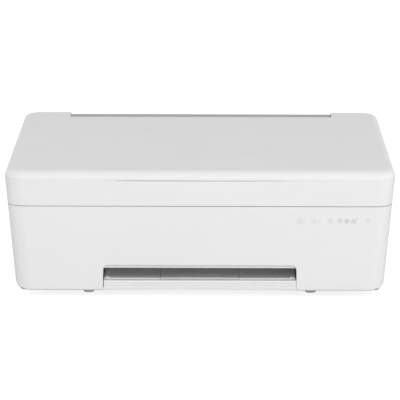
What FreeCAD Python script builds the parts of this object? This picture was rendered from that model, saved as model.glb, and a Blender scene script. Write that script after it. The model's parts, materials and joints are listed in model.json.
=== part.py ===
import FreeCAD, Part
import math
import os

# Inkjet multifunction printer, in millimetres.
# Origin at the bottom centre, +X to the viewer's right, the front faces -Y, +Z up.

V = FreeCAD.Vector
X_AXIS = V(1, 0, 0)
Y_AXIS = V(0, 1, 0)
Z_AXIS = V(0, 0, 1)

# Outer body: its sides and ends lean out a little towards the top
WIDTH = 440.0
DEPTH = 354.0
HEIGHT = 147.0
BASE_Z = 8.0
TOP_FLARE = 0.8
SIDE_LEAN = 4.86
END_LEAN = 1.5
CORNER_R = 20.0
TOP_R = 9.0
KEEL_R = 11.0
FOOT_EDGE_R = 2.5
WALL = 2.6
SKIN_GAP = 0.1
HALF = WIDTH / 2
FRONT = -DEPTH / 2
REAR = DEPTH / 2
TOP_HALF = HALF + TOP_FLARE
SIDE_SLOPE = math.tan(math.radians(SIDE_LEAN))
END_SLOPE = math.tan(math.radians(END_LEAN))
FAR = 500.0

# The seam between the lower body and what opens above it
TOP_H = 40.4
SEAM_GAP = 0.6
SEAM_Z = HEIGHT - TOP_H
CASE_TOP = SEAM_Z - SEAM_GAP / 2
UNIT_LOW = SEAM_Z + SEAM_GAP / 2
SPLIT_Y = REAR - 13.0

# Lid, and its hinge in the scanner unit
LID_AXIS_Y = REAR - 23.5
LID_AXIS_Z = HEIGHT - 14.0
LID_CUT_R = 20.2
BLOCK_R = LID_CUT_R - 0.35
BLOCK_FRONT_Y = LID_AXIS_Y - 14.1
LID_REAR_Y = BLOCK_FRONT_Y - 0.5
LID_BACK_T = 2.4
LINER_Z = HEIGHT - 10.6
LINER_T = 2.0
BAR_HALF = HALF - 59.0
BAR_R = 15.6
BAR_CORE_R = 8.0
BAR_TOP_Z = HEIGHT - 1.1
BAR_GAP = 0.6
TROUGH_R = BAR_R + 0.7
PIN_R = 3.5
PIN_CLEAR = 0.08
PIN_REACH = 5.0

# Finger grip in the front of the lid
GRIP_Z = HEIGHT - 10.4
GRIP_HALF = HALF - 112.0
GRIP_DEPTH = 1.2
GRIP_FALL = 21.0

# Scanner unit, and its hinge on the lower body
UNIT_INSET = 5.4
UNIT_FLOOR = 2.4
TUB_WALL = 2.4
UNIT_AXIS_Y = REAR - 8.5
UNIT_AXIS_Z = SEAM_Z
UNIT_R = 7.1
UNIT_CLEAR = 0.45
UNIT_RELIEF = 1.6
CRADLE_T = 2.2
CRADLE_HALF = HALF - 30.0
BEZEL_Z = HEIGHT - 15.8
BEZEL_T = 2.2
BEZEL_REAR_Y = LID_REAR_Y - 0.6
GLASS_T = 2.8
GLASS_LEFT = -HALF + 60.0
GLASS_RIGHT = HALF - 74.0
GLASS_FRONT = FRONT + 42.0
GLASS_REAR = REAR - 94.0
PAD_OVER = 3.0
SCAN_ROD_Y = FRONT + 147.0
SCAN_ROD_Z = UNIT_LOW + 9.1
SCAN_ROD_R = 3.5
SCAN_ROD_HALF = HALF - 24.0
SCAN_X = GLASS_LEFT - 12.0
SCAN_HALF = 16.0
STAY_ANGLE = 52.0
STAY_FOOT_Z = 20.0
STAY_R = (UNIT_AXIS_Z - STAY_FOOT_Z) / math.sin(math.radians(STAY_ANGLE))
STAY_BAND = 3.0
STAY_X = HALF - 16.4
STAY_T = 2.0

# Output slot and drawer
SIDE_ZONE = 110.6
SLOT_HALF = HALF - SIDE_ZONE
SLOT_TOP_Z = 38.5
SLOT_BEVEL = 3.1
SLOT_CORNER_R = 6.0
DRAWER_LEFT = -SLOT_HALF + 0.7
DRAWER_RIGHT = SLOT_HALF - 0.2
DRAWER_TOP_Z = BASE_Z + 12.0
DRAWER_BOTTOM_Z = BASE_Z + 0.6
DRAWER_LIP = 7.0
DRAWER_WALL = 2.6
DRAWER_LINES = (5.5, 8.5)
DRAWER_BOW = 1.1
DRAWER_Y = FRONT + (HEIGHT - DRAWER_TOP_Z) * END_SLOPE + DRAWER_LIP
BASE_HALF = SLOT_HALF - 0.9
BASE_FLOOR_Z = BASE_Z + 2.2
BASE_TOP_Z = BASE_FLOOR_Z + 2.4
DRAWER_REAR_Y = REAR - 41.0
RIM = 1.1
COVER_REAR_Y = REAR - 147.0
COVER_TOP_Z = DRAWER_TOP_Z + 1.4
COVER_LOW_Z = COVER_TOP_Z - 2.7
EXT_HALF = 44.4
EXT_T = 1.3
EXT_Z = COVER_TOP_Z - EXT_T
EXT_LEN = 150.0
STOP_HALF = 27.0
STOP_LEN = 12.5
STOP_PIN_R = 0.38
STOP_Y = DRAWER_Y + 3.5
STOP_Z = (EXT_Z + COVER_TOP_Z) / 2
RUN = 0.05

# Paper guides on the drawer floor, moved together by a pinion between two racks
GUIDE_Y = REAR - 112.0
GUIDE_IN = BASE_HALF - 3.3
GUIDE_HALF = 24.0
RACK_OFF = 9.1
RACK_HALF = 3.0
RACK_TIP = 1.75
GUIDE_TEETH = 10
GUIDE_PIN_R = 1.6
CHANNEL_DEEP = 1.6

# Feed drive and paper path
MODULE = 1.0
FEED_TEETH = 30
IDLER_TEETH = 20
PINION_TEETH = 12
FEED_Y = REAR - 81.0
IDLER_Y = FEED_Y - MODULE * (FEED_TEETH + IDLER_TEETH) / 2
OUT_Y = IDLER_Y - MODULE * (FEED_TEETH + IDLER_TEETH) / 2
MOTOR_Y = FEED_Y + MODULE * (FEED_TEETH + PINION_TEETH) / 2
ROLLER_Z = BASE_Z + 25.8
FEED_R = 6.0
OUT_R = 5.5
SHAFT_R = 2.5
FRAME_IN = SLOT_HALF + 14.6
FRAME_T = 2.0
PATH_HALF = FRAME_IN - 6.0
GEAR_W = 6.0
GEAR_X = -FRAME_IN - FRAME_T - 1.0 - GEAR_W
NIP = 0.1
PINCH_R = 3.5
PINCH_Y = FEED_Y + 1.0
PINCH_Z = ROLLER_Z + FEED_R + PINCH_R + NIP
PINCH_SHAFT_R = 1.5
STAR_R = 3.8
STAR_Z = ROLLER_Z + OUT_R + STAR_R + NIP
STAR_SHAFT_R = 1.0
NOZZLE_Y = FEED_Y - 24.0
PLATEN_Z = ROLLER_Z + 5.7
PICK_Y = FEED_Y + 25.0
PICK_R = 6.5
PICK_Z = BASE_TOP_Z + PICK_R + 0.4
PICK_SHAFT_R = 2.0
ARM_Y = FEED_Y - 24.0
ARM_Z = COVER_TOP_Z + 2.6
ARM_HALF = 17.0
TURN_Y = PICK_Y + 19.0
TURN_Z = BASE_Z + 21.0
TURN_R = 17.5
TURN_T = 2.0
BIN_TOP_Z = STAR_Z + 7.0
SHEET_T = 1.6

# Carriage, its rod and its belt
CARR_X = HALF - 64.0
CARR_HALF = 42.0
CARR_FRONT = FEED_Y - 82.0
CARR_REAR = FEED_Y + 8.0
CARR_LOW = PINCH_Z + 10.6
CARR_TOP = SEAM_Z - 9.6
NOZZLE_Z = PLATEN_Z + 2.1
NOZZLE_OFF = 13.0
TANK_OFF = 19.0
ROD_Y = CARR_REAR + 8.0
ROD_Z = CARR_LOW + 5.2
ROD_R = 3.0
BRACKET_X = HALF - 20.0
BEAM_Y = ROD_Y + 10.4
BEAM_Z = SEAM_Z - 9.2
BEAM_FOOT_Z = PINCH_Z + 4.8
BELT_Y = ROD_Y + 4.0
BELT_Z = SEAM_Z - 21.6
BELT_W = 5.0
BELT_T = 1.0
BELT_FIT = 0.35
PULLEY_X = BRACKET_X - 7.0
PULLEY_R = 4.0
MOTOR_R = 12.0
MOTOR_SHAFT_R = 1.2

# Deck over the mechanism, with a well for the carriage
DECK_Z = SEAM_Z - 5.2
DECK_T = 1.8
WELL_HALF = HALF - 24.0
WELL_FRONT = CARR_FRONT - 10.0
WELL_REAR = BEAM_Y + 7.6

# Base pan, feet and screws
PAN_HALF = HALF - 17.0
PAN_T = 2.0
PAN_TOP = BASE_Z + PAN_T
FOOT_R = 7.0
FOOT_STEM_R = 4.0
FOOT_PLACES = ((FRAME_IN + 2.5, FRONT + 31.0), (HALF - 60.0, REAR - 37.0))
SCREW_PLACES = ((HALF - 34.0, FRONT + 37.0), (HALF - 34.0, REAR - 77.0))

# Rear sockets, boards and buttons
INLET_X = HALF - 60.0
INLET_Z = BASE_Z + 26.0
INLET_HALF_W = 11.8
INLET_HALF_H = 7.3
WELL_DEEP = 11.0
WELL_R = 4.4
USB_X = -HALF + 70.0
USB_Z = BASE_Z + 26.0
USB_HALF_W = 6.2
USB_HALF_H = 5.7
BOARD_Y = REAR - 17.0
BOARD_T = 1.6
BOARD_LEFT = -HALF + 22.0
BOARD_RIGHT = -HALF + 96.0
POWER_X = -HALF + 44.0
WIFI_X = -HALF + 70.0
BUTTON_Z = SEAM_Z - 44.6
BUTTON_R = 5.5
SUPPLY_REAR = REAR - 21.0
SUPPLY_TOP = BASE_Z + 50.0
VENTS = 9
VENT_STEP = 7.0

# Touch symbols in the front: distance in from the right side, and radius of each lens
ICONS = ((107.9, 3.6), (91.5, 3.6), (73.1, 3.6), (62.5, 2.8), (54.7, 2.8), (47.0, 2.8), (30.8, 3.6))
ICON_Z = SEAM_Z - 16.9
ICON_T = 0.8


def box(x0, x1, y0, y1, z0, z1):
    return Part.makeBox(x1 - x0, y1 - y0, z1 - z0, V(x0, y0, z0))


def side_box(side, x0, x1, y0, y1, z0, z1):
    # the same box on the right (side 1) or the left (side -1)
    low, high = sorted((side * x0, side * x1))
    return box(low, high, y0, y1, z0, z1)


def rod_x(r, x0, x1, y, z):
    return Part.makeCylinder(r, x1 - x0, V(x0, y, z), X_AXIS)


def rod_y(r, y0, y1, x, z):
    return Part.makeCylinder(r, y1 - y0, V(x, y0, z), Y_AXIS)


def rod_z(r, z0, z1, x, y):
    return Part.makeCylinder(r, z1 - z0, V(x, y, z0), Z_AXIS)


def prism_x(points, x0, x1):
    wire = Part.makePolygon([V(x0, y, z) for y, z in points + [points[0]]])
    return Part.Face(wire).extrude(V(x1 - x0, 0, 0))


def prism_y(points, y0, y1):
    wire = Part.makePolygon([V(x, y0, z) for x, z in points + [points[0]]])
    return Part.Face(wire).extrude(V(0, y1 - y0, 0))


def prism_z(points, z0, z1):
    wire = Part.makePolygon([V(x, y, z0) for x, y in points + [points[0]]])
    return Part.Face(wire).extrude(V(0, 0, z1 - z0))


def fuse(shapes):
    whole = shapes[0]
    for shape in shapes[1:]:
        whole = whole.fuse(shape)
    return whole.removeSplitter()


def mirror_x(shape):
    return shape.mirror(V(0, 0, 0), X_AXIS)


def upright_edges(shape):
    return [e for e in shape.Edges if abs(e.Vertexes[0].Z - e.Vertexes[-1].Z) > 1]


def half_width(z):
    return TOP_HALF - (HEIGHT - z) * SIDE_SLOPE


def front_y(z):
    return FRONT + (HEIGHT - z) * END_SLOPE


def rear_y(z):
    return REAR - (HEIGHT - z) * END_SLOPE


def outline_points(z, inset):
    hw = half_width(z) - inset * math.hypot(1, SIDE_SLOPE)
    yf = front_y(z) + inset
    yr = rear_y(z) - inset
    return [V(-hw, yf, z), V(hw, yf, z), V(hw, yr, z), V(-hw, yr, z)]


def keel_cutter(inset):
    # rounds the lower side edges, in a straight line from front to rear
    tilt = math.atan(SIDE_SLOPE)
    cz = BASE_Z + KEEL_R
    cx = half_width(cz) - KEEL_R / math.cos(tilt)
    r = KEEL_R - inset
    wall_x = cx + r * math.cos(tilt)
    wall_z = cz - r * math.sin(tilt)
    out = 4 * KEEL_R
    points = [(wall_x, wall_z), (wall_x + out, wall_z - out * SIDE_SLOPE), (wall_x + out, -out), (cx, -out),
              (cx, cz)]
    tool = prism_y(points, -DEPTH, DEPTH).cut(rod_y(r, -DEPTH, DEPTH, cx, cz))
    return tool.fuse(mirror_x(tool))


def envelope(inset):
    # the drafted outer body, or the same body moved in by a wall and open below
    z0 = BASE_Z if inset == 0 else 0.0
    z1 = HEIGHT - inset
    low = outline_points(z0, inset)
    high = outline_points(z1, inset)
    side_view = prism_x([(low[0].y, z0), (low[2].y, z0), (high[2].y, z1), (high[0].y, z1)], -WIDTH, WIDTH)
    front_view = prism_y([(low[0].x, z0), (low[1].x, z0), (high[1].x, z1), (high[0].x, z1)], -DEPTH, DEPTH)
    body = side_view.common(front_view)
    body = body.makeFillet(CORNER_R - inset, upright_edges(body))
    rim = [e for e in body.Edges if min(v.Z for v in e.Vertexes) > z1 - 0.01]
    body = body.makeFillet(TOP_R - inset, rim)
    if inset == 0:
        foot = [e for e in body.Edges if max(v.Z for v in e.Vertexes) < z0 + 0.01]
        body = body.makeFillet(FOOT_EDGE_R, foot)
    return body.cut(keel_cutter(inset))


SHELLS = {}


def moved_in(inset, z0=-FAR, z1=FAR, y1=FAR):
    # the body moved in by a wall, between two heights and in front of y1
    if inset not in SHELLS:
        SHELLS[inset] = envelope(inset)
    return SHELLS[inset].common(box(-FAR, FAR, -FAR, y1, z0, z1))


OUTER = envelope(0)


def gear_points(teeth, cu, cv, start, tip=0.75, root=1.0):
    # the outline of straight-sided teeth with backlash, round a centre
    r = MODULE * teeth / 2
    pitch = 2 * math.pi / teeth
    points = []
    for i in range(teeth):
        mid = start + i * pitch
        for radius, part in ((r - root, -0.34), (r + tip, -0.12), (r + tip, 0.12), (r - root, 0.34)):
            a = mid + part * pitch
            points.append((cu + radius * math.cos(a), cv + radius * math.sin(a)))
    return points


def gear(teeth, y, bore, start):
    wheel = prism_x(gear_points(teeth, y, ROLLER_Z, start), GEAR_X, GEAR_X + GEAR_W)
    return wheel.cut(rod_x(bore, GEAR_X - 1, GEAR_X + GEAR_W + 1, y, ROLLER_Z))


# Lid

def grip_cutter():
    ya = front_y(GRIP_Z) + GRIP_DEPTH
    zb = GRIP_Z - GRIP_FALL
    along = V(0, front_y(zb) - ya, zb - GRIP_Z)
    along.normalize()
    out = V(0, along.z, -along.y)
    r = (GRIP_HALF ** 2 + GRIP_DEPTH ** 2) / (2 * GRIP_DEPTH)
    start = V(0, ya, GRIP_Z) - along * GRIP_FALL + out * r
    scoop = Part.makeCylinder(r, 3 * GRIP_FALL, start, along)
    return scoop.common(box(-HALF, HALF, FRONT - 5, FRONT + 20, UNIT_LOW, GRIP_Z))


def lid_ends():
    # the round room for the corner blocks
    end = rod_x(LID_CUT_R, BAR_HALF, FAR, LID_AXIS_Y, LID_AXIS_Z)
    return end.fuse(mirror_x(end))


def lid_cover():
    shell = OUTER.common(box(-FAR, FAR, -FAR, LID_REAR_Y, UNIT_LOW, FAR))
    shell = shell.cut(moved_in(WALL, y1=LID_REAR_Y - LID_BACK_T))
    shell = shell.cut(moved_in(WALL, z1=BEZEL_Z + 2.0))
    return shell.cut(lid_ends()).cut(grip_cutter())


def lid_liner():
    rear = LID_REAR_Y - LID_BACK_T - SKIN_GAP
    return moved_in(WALL + SKIN_GAP, LINER_Z, LINER_Z + LINER_T, rear).cut(lid_ends())


def backing_pad():
    pad = box(GLASS_LEFT - PAD_OVER, GLASS_RIGHT + PAD_OVER, GLASS_FRONT - PAD_OVER, GLASS_REAR + PAD_OVER,
              BEZEL_Z + 0.5, LINER_Z)
    return pad.makeFillet(4.0, upright_edges(pad))


def hinge_bar():
    drum = rod_x(BAR_R, -BAR_HALF, BAR_HALF, LID_AXIS_Y, LID_AXIS_Z)
    upper = box(-BAR_HALF, BAR_HALF, LID_REAR_Y, LID_AXIS_Y + 2 * BAR_R, LID_AXIS_Z - 2.0, BAR_TOP_Z)
    neck = box(-BAR_HALF, BAR_HALF, LID_REAR_Y, LID_AXIS_Y, LID_AXIS_Z + 1.5, BAR_TOP_Z)
    core = rod_x(BAR_CORE_R, -BAR_HALF, BAR_HALF, LID_AXIS_Y, LID_AXIS_Z)
    pins = rod_x(PIN_R, -BAR_HALF - PIN_REACH, BAR_HALF + PIN_REACH, LID_AXIS_Y, LID_AXIS_Z)
    return fuse([drum.common(upper), neck, core, pins])


# Scanner unit

def scanner_case():
    tub = moved_in(UNIT_INSET, UNIT_LOW, BEZEL_Z - BEZEL_T, BLOCK_FRONT_Y)
    floor_z = UNIT_LOW + UNIT_FLOOR
    tub = tub.cut(moved_in(UNIT_INSET + TUB_WALL, z0=floor_z, y1=BLOCK_FRONT_Y - TUB_WALL))
    length = SCAN_ROD_HALF - 6.0
    fittings = [tub, box(-length, length, SCAN_ROD_Y + 18, SCAN_ROD_Y + 22, floor_z - 0.5, floor_z + 2.0)]
    for side in (-1, 1):
        post = side_box(side, SCAN_ROD_HALF - 4.0, SCAN_ROD_HALF, SCAN_ROD_Y - 7, SCAN_ROD_Y + 7,
                        floor_z - 0.5, SCAN_ROD_Z + 7)
        fittings.append(post.cut(rod_x(SCAN_ROD_R, -FAR, FAR, SCAN_ROD_Y, SCAN_ROD_Z)))
    return fuse(fittings)


def hinge_trough():
    middle = BAR_HALF + BAR_GAP
    front = box(-middle, middle, LID_REAR_Y - 5, LID_AXIS_Y + TROUGH_R, LID_AXIS_Z - 1.5, FAR)
    round_part = rod_x(TROUGH_R, -middle, middle, LID_AXIS_Y, LID_AXIS_Z)
    back = box(-middle, middle, LID_AXIS_Y, FAR, LID_AXIS_Z + 6.0, FAR)
    return fuse([front, round_part, back])


def hinge_housing():
    middle = BAR_HALF + BAR_GAP
    rear = OUTER.common(box(-FAR, FAR, BLOCK_FRONT_Y, FAR, UNIT_LOW, FAR))
    ear = OUTER.common(rod_x(BLOCK_R, middle, FAR, LID_AXIS_Y, LID_AXIS_Z))
    ears = ear.fuse(mirror_x(ear)).common(box(-FAR, FAR, 0, FAR, UNIT_LOW, FAR))
    ears = ears.cut(moved_in(UNIT_INSET - SKIN_GAP, z1=BEZEL_Z + SKIN_GAP, y1=BLOCK_FRONT_Y))
    housing = rear.fuse(ears).cut(hinge_trough())
    below = LID_AXIS_Z - TROUGH_R - 3.7
    housing = housing.cut(box(-middle + 12, middle - 12, 0, LID_AXIS_Y + 4.5, 0, below))
    for side in (-1, 1):
        room = side_box(side, middle + WALL, FAR, BLOCK_FRONT_Y + WALL, FAR, UNIT_LOW + WALL, FAR)
        housing = housing.cut(moved_in(WALL).common(room))
    pin_end = BAR_HALF + PIN_REACH + 2.0
    housing = housing.cut(rod_x(PIN_R + PIN_CLEAR, -pin_end, pin_end, LID_AXIS_Y, LID_AXIS_Z))
    barrel = rod_x(UNIT_R, -FAR, FAR, UNIT_AXIS_Y, UNIT_AXIS_Z).common(OUTER)
    return housing.fuse(barrel).removeSplitter()


def scanner_bezel():
    plate = moved_in(UNIT_INSET, BEZEL_Z - BEZEL_T, BEZEL_Z, BEZEL_REAR_Y)
    return plate.cut(box(GLASS_LEFT, GLASS_RIGHT, GLASS_FRONT, GLASS_REAR, 0, FAR))


def scanner_glass():
    return box(GLASS_LEFT, GLASS_RIGHT, GLASS_FRONT, GLASS_REAR, BEZEL_Z - GLASS_T, BEZEL_Z)


def scan_rod():
    return rod_x(SCAN_ROD_R, -SCAN_ROD_HALF, SCAN_ROD_HALF, SCAN_ROD_Y, SCAN_ROD_Z)


def scan_head():
    z0 = UNIT_LOW + UNIT_FLOOR + 2.6
    z1 = BEZEL_Z - GLASS_T - 0.6
    head = box(SCAN_X - SCAN_HALF, SCAN_X + SCAN_HALF, GLASS_FRONT - 4, GLASS_REAR + 8, z0, z1)
    head = head.cut(rod_x(SCAN_ROD_R + RUN, -FAR, FAR, SCAN_ROD_Y, SCAN_ROD_Z))
    head = head.cut(box(SCAN_X - 3, SCAN_X + 3, GLASS_FRONT + 3, GLASS_REAR - 3, z1 - 2.5, FAR))
    return head.cut(box(SCAN_X - 14, SCAN_X - 5, GLASS_FRONT + 3, GLASS_REAR + 2, z1 - 2.5, FAR))


def cover_stay():
    x1 = STAY_X + STAY_T
    ring = rod_x(STAY_R + STAY_BAND, STAY_X, x1, UNIT_AXIS_Y, UNIT_AXIS_Z)
    ring = ring.cut(rod_x(STAY_R - STAY_BAND, 0, FAR, UNIT_AXIS_Y, UNIT_AXIS_Z))
    reach = 2 * STAY_R
    a = math.radians(STAY_ANGLE)
    low = UNIT_AXIS_Z - reach * math.sin(a)
    wedge = prism_x([(UNIT_AXIS_Y, UNIT_LOW), (UNIT_AXIS_Y - reach, UNIT_LOW), (UNIT_AXIS_Y - reach, low),
                     (UNIT_AXIS_Y - reach * math.cos(a), low)], 0, FAR)
    return ring.common(wedge)


def stay_slot():
    # the way of the stay through the deck
    middle = UNIT_AXIS_Y - STAY_R
    return box(STAY_X - 0.6, STAY_X + STAY_T + 0.6, middle - 18, middle + 18, DECK_Z - 10, DECK_Z + 10)


# Lower body

def slot_wire(y, half, top, r):
    k = r * (1 - math.sqrt(0.5))
    left_up = Part.Arc(V(-half, y, top - r), V(-half + k, y, top - k), V(-half + r, y, top)).toShape()
    right_up = Part.Arc(V(half - r, y, top), V(half - k, y, top - k), V(half, y, top - r)).toShape()
    edges = [Part.makeLine(V(-half, y, 0), V(-half, y, top - r)), left_up,
             Part.makeLine(V(-half + r, y, top), V(half - r, y, top)), right_up,
             Part.makeLine(V(half, y, top - r), V(half, y, 0)),
             Part.makeLine(V(half, y, 0), V(-half, y, 0))]
    return Part.Wire(edges)


def slot_cutter():
    y_out = front_y(SLOT_TOP_Z) - 0.4
    y_in = y_out + 0.4 + SLOT_BEVEL
    wide = slot_wire(y_out, SLOT_HALF, SLOT_TOP_Z + 0.4, SLOT_CORNER_R)
    tight = slot_wire(y_in, SLOT_HALF - 0.15, SLOT_TOP_Z - SLOT_BEVEL, SLOT_CORNER_R - 1.5)
    bevel = Part.makeLoft([wide, tight], True, True)
    through = Part.Face(tight).extrude(V(0, 30, 0))
    outside = Part.Face(wide).extrude(V(0, -20, 0))
    return bevel.fuse(through).fuse(outside)


def icon_disc(inward, r):
    pin = rod_y(r, FRONT - 10, FRONT + 20, HALF - inward, ICON_Z)
    return pin.common(OUTER).cut(moved_in(ICON_T))


def touch_icons():
    return Part.makeCompound([icon_disc(inward, r) for inward, r in ICONS])


def hinge_room(extra):
    # the round room for the barrel of the scanner unit
    return rod_x(UNIT_R + UNIT_CLEAR + extra, -FAR, FAR, UNIT_AXIS_Y, UNIT_AXIS_Z)


def deck_rests():
    # small ribs inside the walls that the deck lies on
    z0 = DECK_Z - 3.0
    rests = []
    for side in (-1, 1):
        for y in (FRONT + 57, 0, REAR - 57):
            rests.append(side_box(side, half_width(DECK_Z) - WALL - 6, FAR, y - 4, y + 4, z0, DECK_Z))
        rests.append(side_box(side, HALF - 104, HALF - 96, -FAR, front_y(DECK_Z) + WALL + 6, z0, DECK_Z))
    return fuse(rests).common(moved_in(WALL / 2))


def lower_case():
    shell = OUTER.common(box(-FAR, FAR, -FAR, SPLIT_Y, BASE_Z, CASE_TOP))
    shell = shell.cut(moved_in(WALL)).cut(slot_cutter()).cut(base_plate())
    shell = shell.cut(box(-SLOT_HALF, SLOT_HALF, -FAR, DRAWER_Y + 10, 0, SLOT_TOP_Z - 12))
    shell = shell.cut(hinge_room(0))
    for inward, r in ICONS:
        shell = shell.cut(icon_disc(inward, r))
    return shell.fuse(deck_rests()).removeSplitter()


def rear_panel():
    wall = OUTER.common(box(-FAR, FAR, SPLIT_Y, FAR, BASE_Z, CASE_TOP))
    wall = wall.cut(moved_in(WALL)).cut(base_plate())
    back = OUTER.common(box(-CRADLE_HALF, CRADLE_HALF, REAR - 20, FAR, SEAM_Z - 12.6, CASE_TOP))
    wall = wall.fuse(hinge_room(CRADLE_T).common(back)).cut(hinge_room(0))
    wall = wall.cut(hinge_room(UNIT_RELIEF).common(box(-FAR, FAR, UNIT_AXIS_Y + 4, FAR, 0, FAR)))
    fit = 0.2
    openings = [box(INLET_X - INLET_HALF_W - fit, INLET_X + INLET_HALF_W + fit, REAR - 27, FAR,
                    INLET_Z - INLET_HALF_H - fit, INLET_Z + INLET_HALF_H + fit),
                box(USB_X - USB_HALF_W - 2 * fit, USB_X + USB_HALF_W + 2 * fit, REAR - 27, FAR,
                    USB_Z - USB_HALF_H - 2 * fit, USB_Z + USB_HALF_H + 2 * fit)]
    for x in (POWER_X, WIFI_X):
        openings.append(rod_y(BUTTON_R + 0.3, REAR - 27, FAR, x, BUTTON_Z))
    for i in range(VENTS):
        x = INLET_X - 32.0 + VENT_STEP * i
        openings.append(box(x, x + 3, REAR - 27, FAR, SEAM_Z - 40.6, SEAM_Z - 22.6))
    for opening in openings:
        wall = wall.cut(opening)
    return wall.removeSplitter()


def base_plate():
    y0 = front_y(BASE_Z) + WALL + SKIN_GAP
    y1 = rear_y(BASE_Z) - WALL - SKIN_GAP
    return OUTER.common(box(-PAN_HALF, PAN_HALF, y0, y1, BASE_Z, PAN_TOP))


def both_sides(places):
    return [(side * x, y) for x, y in places for side in (-1, 1)]


def base_pan():
    drawer_front_y = FRONT + 19.0
    pan = base_plate()
    rails = []
    for side in (-1, 1):
        rails.append(side_box(side, BASE_HALF + 0.4, BASE_HALF + 2.4, drawer_front_y, FEED_Y + 22, BASE_Z + 1,
                              DRAWER_TOP_Z + 0.6))
        rails.append(side_box(side, FRAME_IN - 4, FRAME_IN, OUT_Y - 10, PICK_Y, BASE_Z + 1, BASE_Z + 7))
    pan = pan.fuse(fuse(rails))
    pan = pan.cut(box(-BASE_HALF - 1, BASE_HALF + 1, -FAR, drawer_front_y, 0, DRAWER_TOP_Z + 10))
    for x, y in both_sides(FOOT_PLACES):
        pan = pan.cut(rod_z(FOOT_STEM_R, 0, FAR, x, y))
    for x, y in both_sides(SCREW_PLACES):
        pan = pan.cut(rod_z(1.8, 0, FAR, x, y)).cut(rod_z(3.6, 0, BASE_Z + 1.0, x, y))
    return pan.removeSplitter()


def rubber_feet():
    feet = []
    for x, y in both_sides(FOOT_PLACES):
        pad = Part.makeCone(FOOT_R - 1, FOOT_R, BASE_Z, V(x, y, 0), Z_AXIS)
        stem = rod_z(FOOT_STEM_R, BASE_Z - 1, PAN_TOP, x, y)
        feet.append(pad.fuse(stem).removeSplitter())
    return Part.makeCompound(feet)


def case_screws():
    screws = []
    for x, y in both_sides(SCREW_PLACES):
        head = rod_z(3.2, BASE_Z, BASE_Z + 1.0, x, y)
        shank = rod_z(1.5, BASE_Z + 0.5, PAN_TOP + 7.0, x, y)
        slot = box(x - 2.2, x + 2.2, y - 0.35, y + 0.35, 0, BASE_Z + 0.5)
        cross = box(x - 0.35, x + 0.35, y - 2.2, y + 2.2, 0, BASE_Z + 0.5)
        screws.append(head.fuse(shank).cut(slot).cut(cross))
    return Part.makeCompound(screws)


def inner_deck():
    deck_top = DECK_Z + DECK_T
    well = box(-WELL_HALF, WELL_HALF, WELL_FRONT, WELL_REAR, 0, FAR)
    rim = box(-WELL_HALF - 2, WELL_HALF + 2, WELL_FRONT - 2, WELL_REAR + 2, DECK_Z - 3.6, deck_top)
    plate = moved_in(WALL + 2 * SKIN_GAP, DECK_Z, deck_top, REAR - 21)
    plate = plate.fuse(rim).cut(well).cut(stay_slot())
    return plate.cut(hinge_room(CRADLE_T + 0.2)).removeSplitter()


def output_liner():
    y0 = front_y(DRAWER_TOP_Z + 4) + WALL + 2 * SKIN_GAP
    y1 = OUT_Y - 20.0
    step = FRONT + 29.0
    low = DRAWER_TOP_Z + 0.6
    outer = [(y0, low), (y0, SLOT_TOP_Z - 2.1), (step, BIN_TOP_Z), (y1, BIN_TOP_Z), (y1, low)]
    roof = BIN_TOP_Z - SHEET_T
    mouth = SLOT_TOP_Z - 4.5
    inner = [(y0 - 5, 0), (y0 - 5, mouth), (y0 + 1, mouth), (step + 1, roof), (y1 + 14, roof), (y1 + 14, 0)]
    half = SLOT_HALF + 2.2
    shell = prism_x(outer, -half, half).cut(prism_x(inner, -half + SHEET_T, half - SHEET_T))
    shell = shell.cut(box(-FAR, FAR, -FAR, FRONT + 19.5, 0, DRAWER_TOP_Z + 4))
    hood = box(-PATH_HALF, PATH_HALF, y1 - 2, OUT_Y + 6, roof, BIN_TOP_Z)
    return shell.fuse(hood).removeSplitter()


def side_frames():
    x0 = FRAME_IN
    x1 = FRAME_IN + FRAME_T
    low = box(x0, x1, OUT_Y - 12, BEAM_Y, PAN_TOP, PLATEN_Z - 0.1)
    feed_tower = box(x0, x1, FEED_Y - 8, BEAM_Y, ROLLER_Z, BEAM_FOOT_Z - 0.2)
    star_tower = box(x0, x1, OUT_Y - 8, OUT_Y + 8, ROLLER_Z, STAR_Z + 3.4)
    right = fuse([low, feed_tower, star_tower])
    for r, y, z in ((SHAFT_R, OUT_Y, ROLLER_Z), (SHAFT_R, FEED_Y, ROLLER_Z), (PINCH_SHAFT_R, PINCH_Y, PINCH_Z),
                    (STAR_SHAFT_R, OUT_Y, STAR_Z)):
        right = right.cut(rod_x(r + RUN, 0, FAR, y, z))
    pin = rod_x(2.0, GEAR_X - 1.0, -FRAME_IN, IDLER_Y, ROLLER_Z)
    left = mirror_x(right).cut(rod_x(2.6, -FAR, 0, MOTOR_Y, ROLLER_Z)).fuse(pin).removeSplitter()
    return Part.makeCompound([left, right])


def platen():
    y0 = OUT_Y + OUT_R + 1.0
    y1 = FEED_Y - FEED_R - 0.8
    plate = box(-FRAME_IN, FRAME_IN, y0, y1, PLATEN_Z - 4.0, PLATEN_Z - 0.5)
    plate = plate.cut(box(-PATH_HALF, PATH_HALF, NOZZLE_Y - 9, NOZZLE_Y + 9, PLATEN_Z - 1.9, FAR))
    count = 15
    step = 2 * (PATH_HALF - 6.0) / (count - 1)
    ribs = [plate]
    for i in range(count):
        x = -PATH_HALF + 6.0 + step * i
        ribs.append(box(x - 0.7, x + 0.7, y0 + 0.5, y1 - 0.7, PLATEN_Z - 2.5, PLATEN_Z))
    return fuse(ribs)


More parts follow.
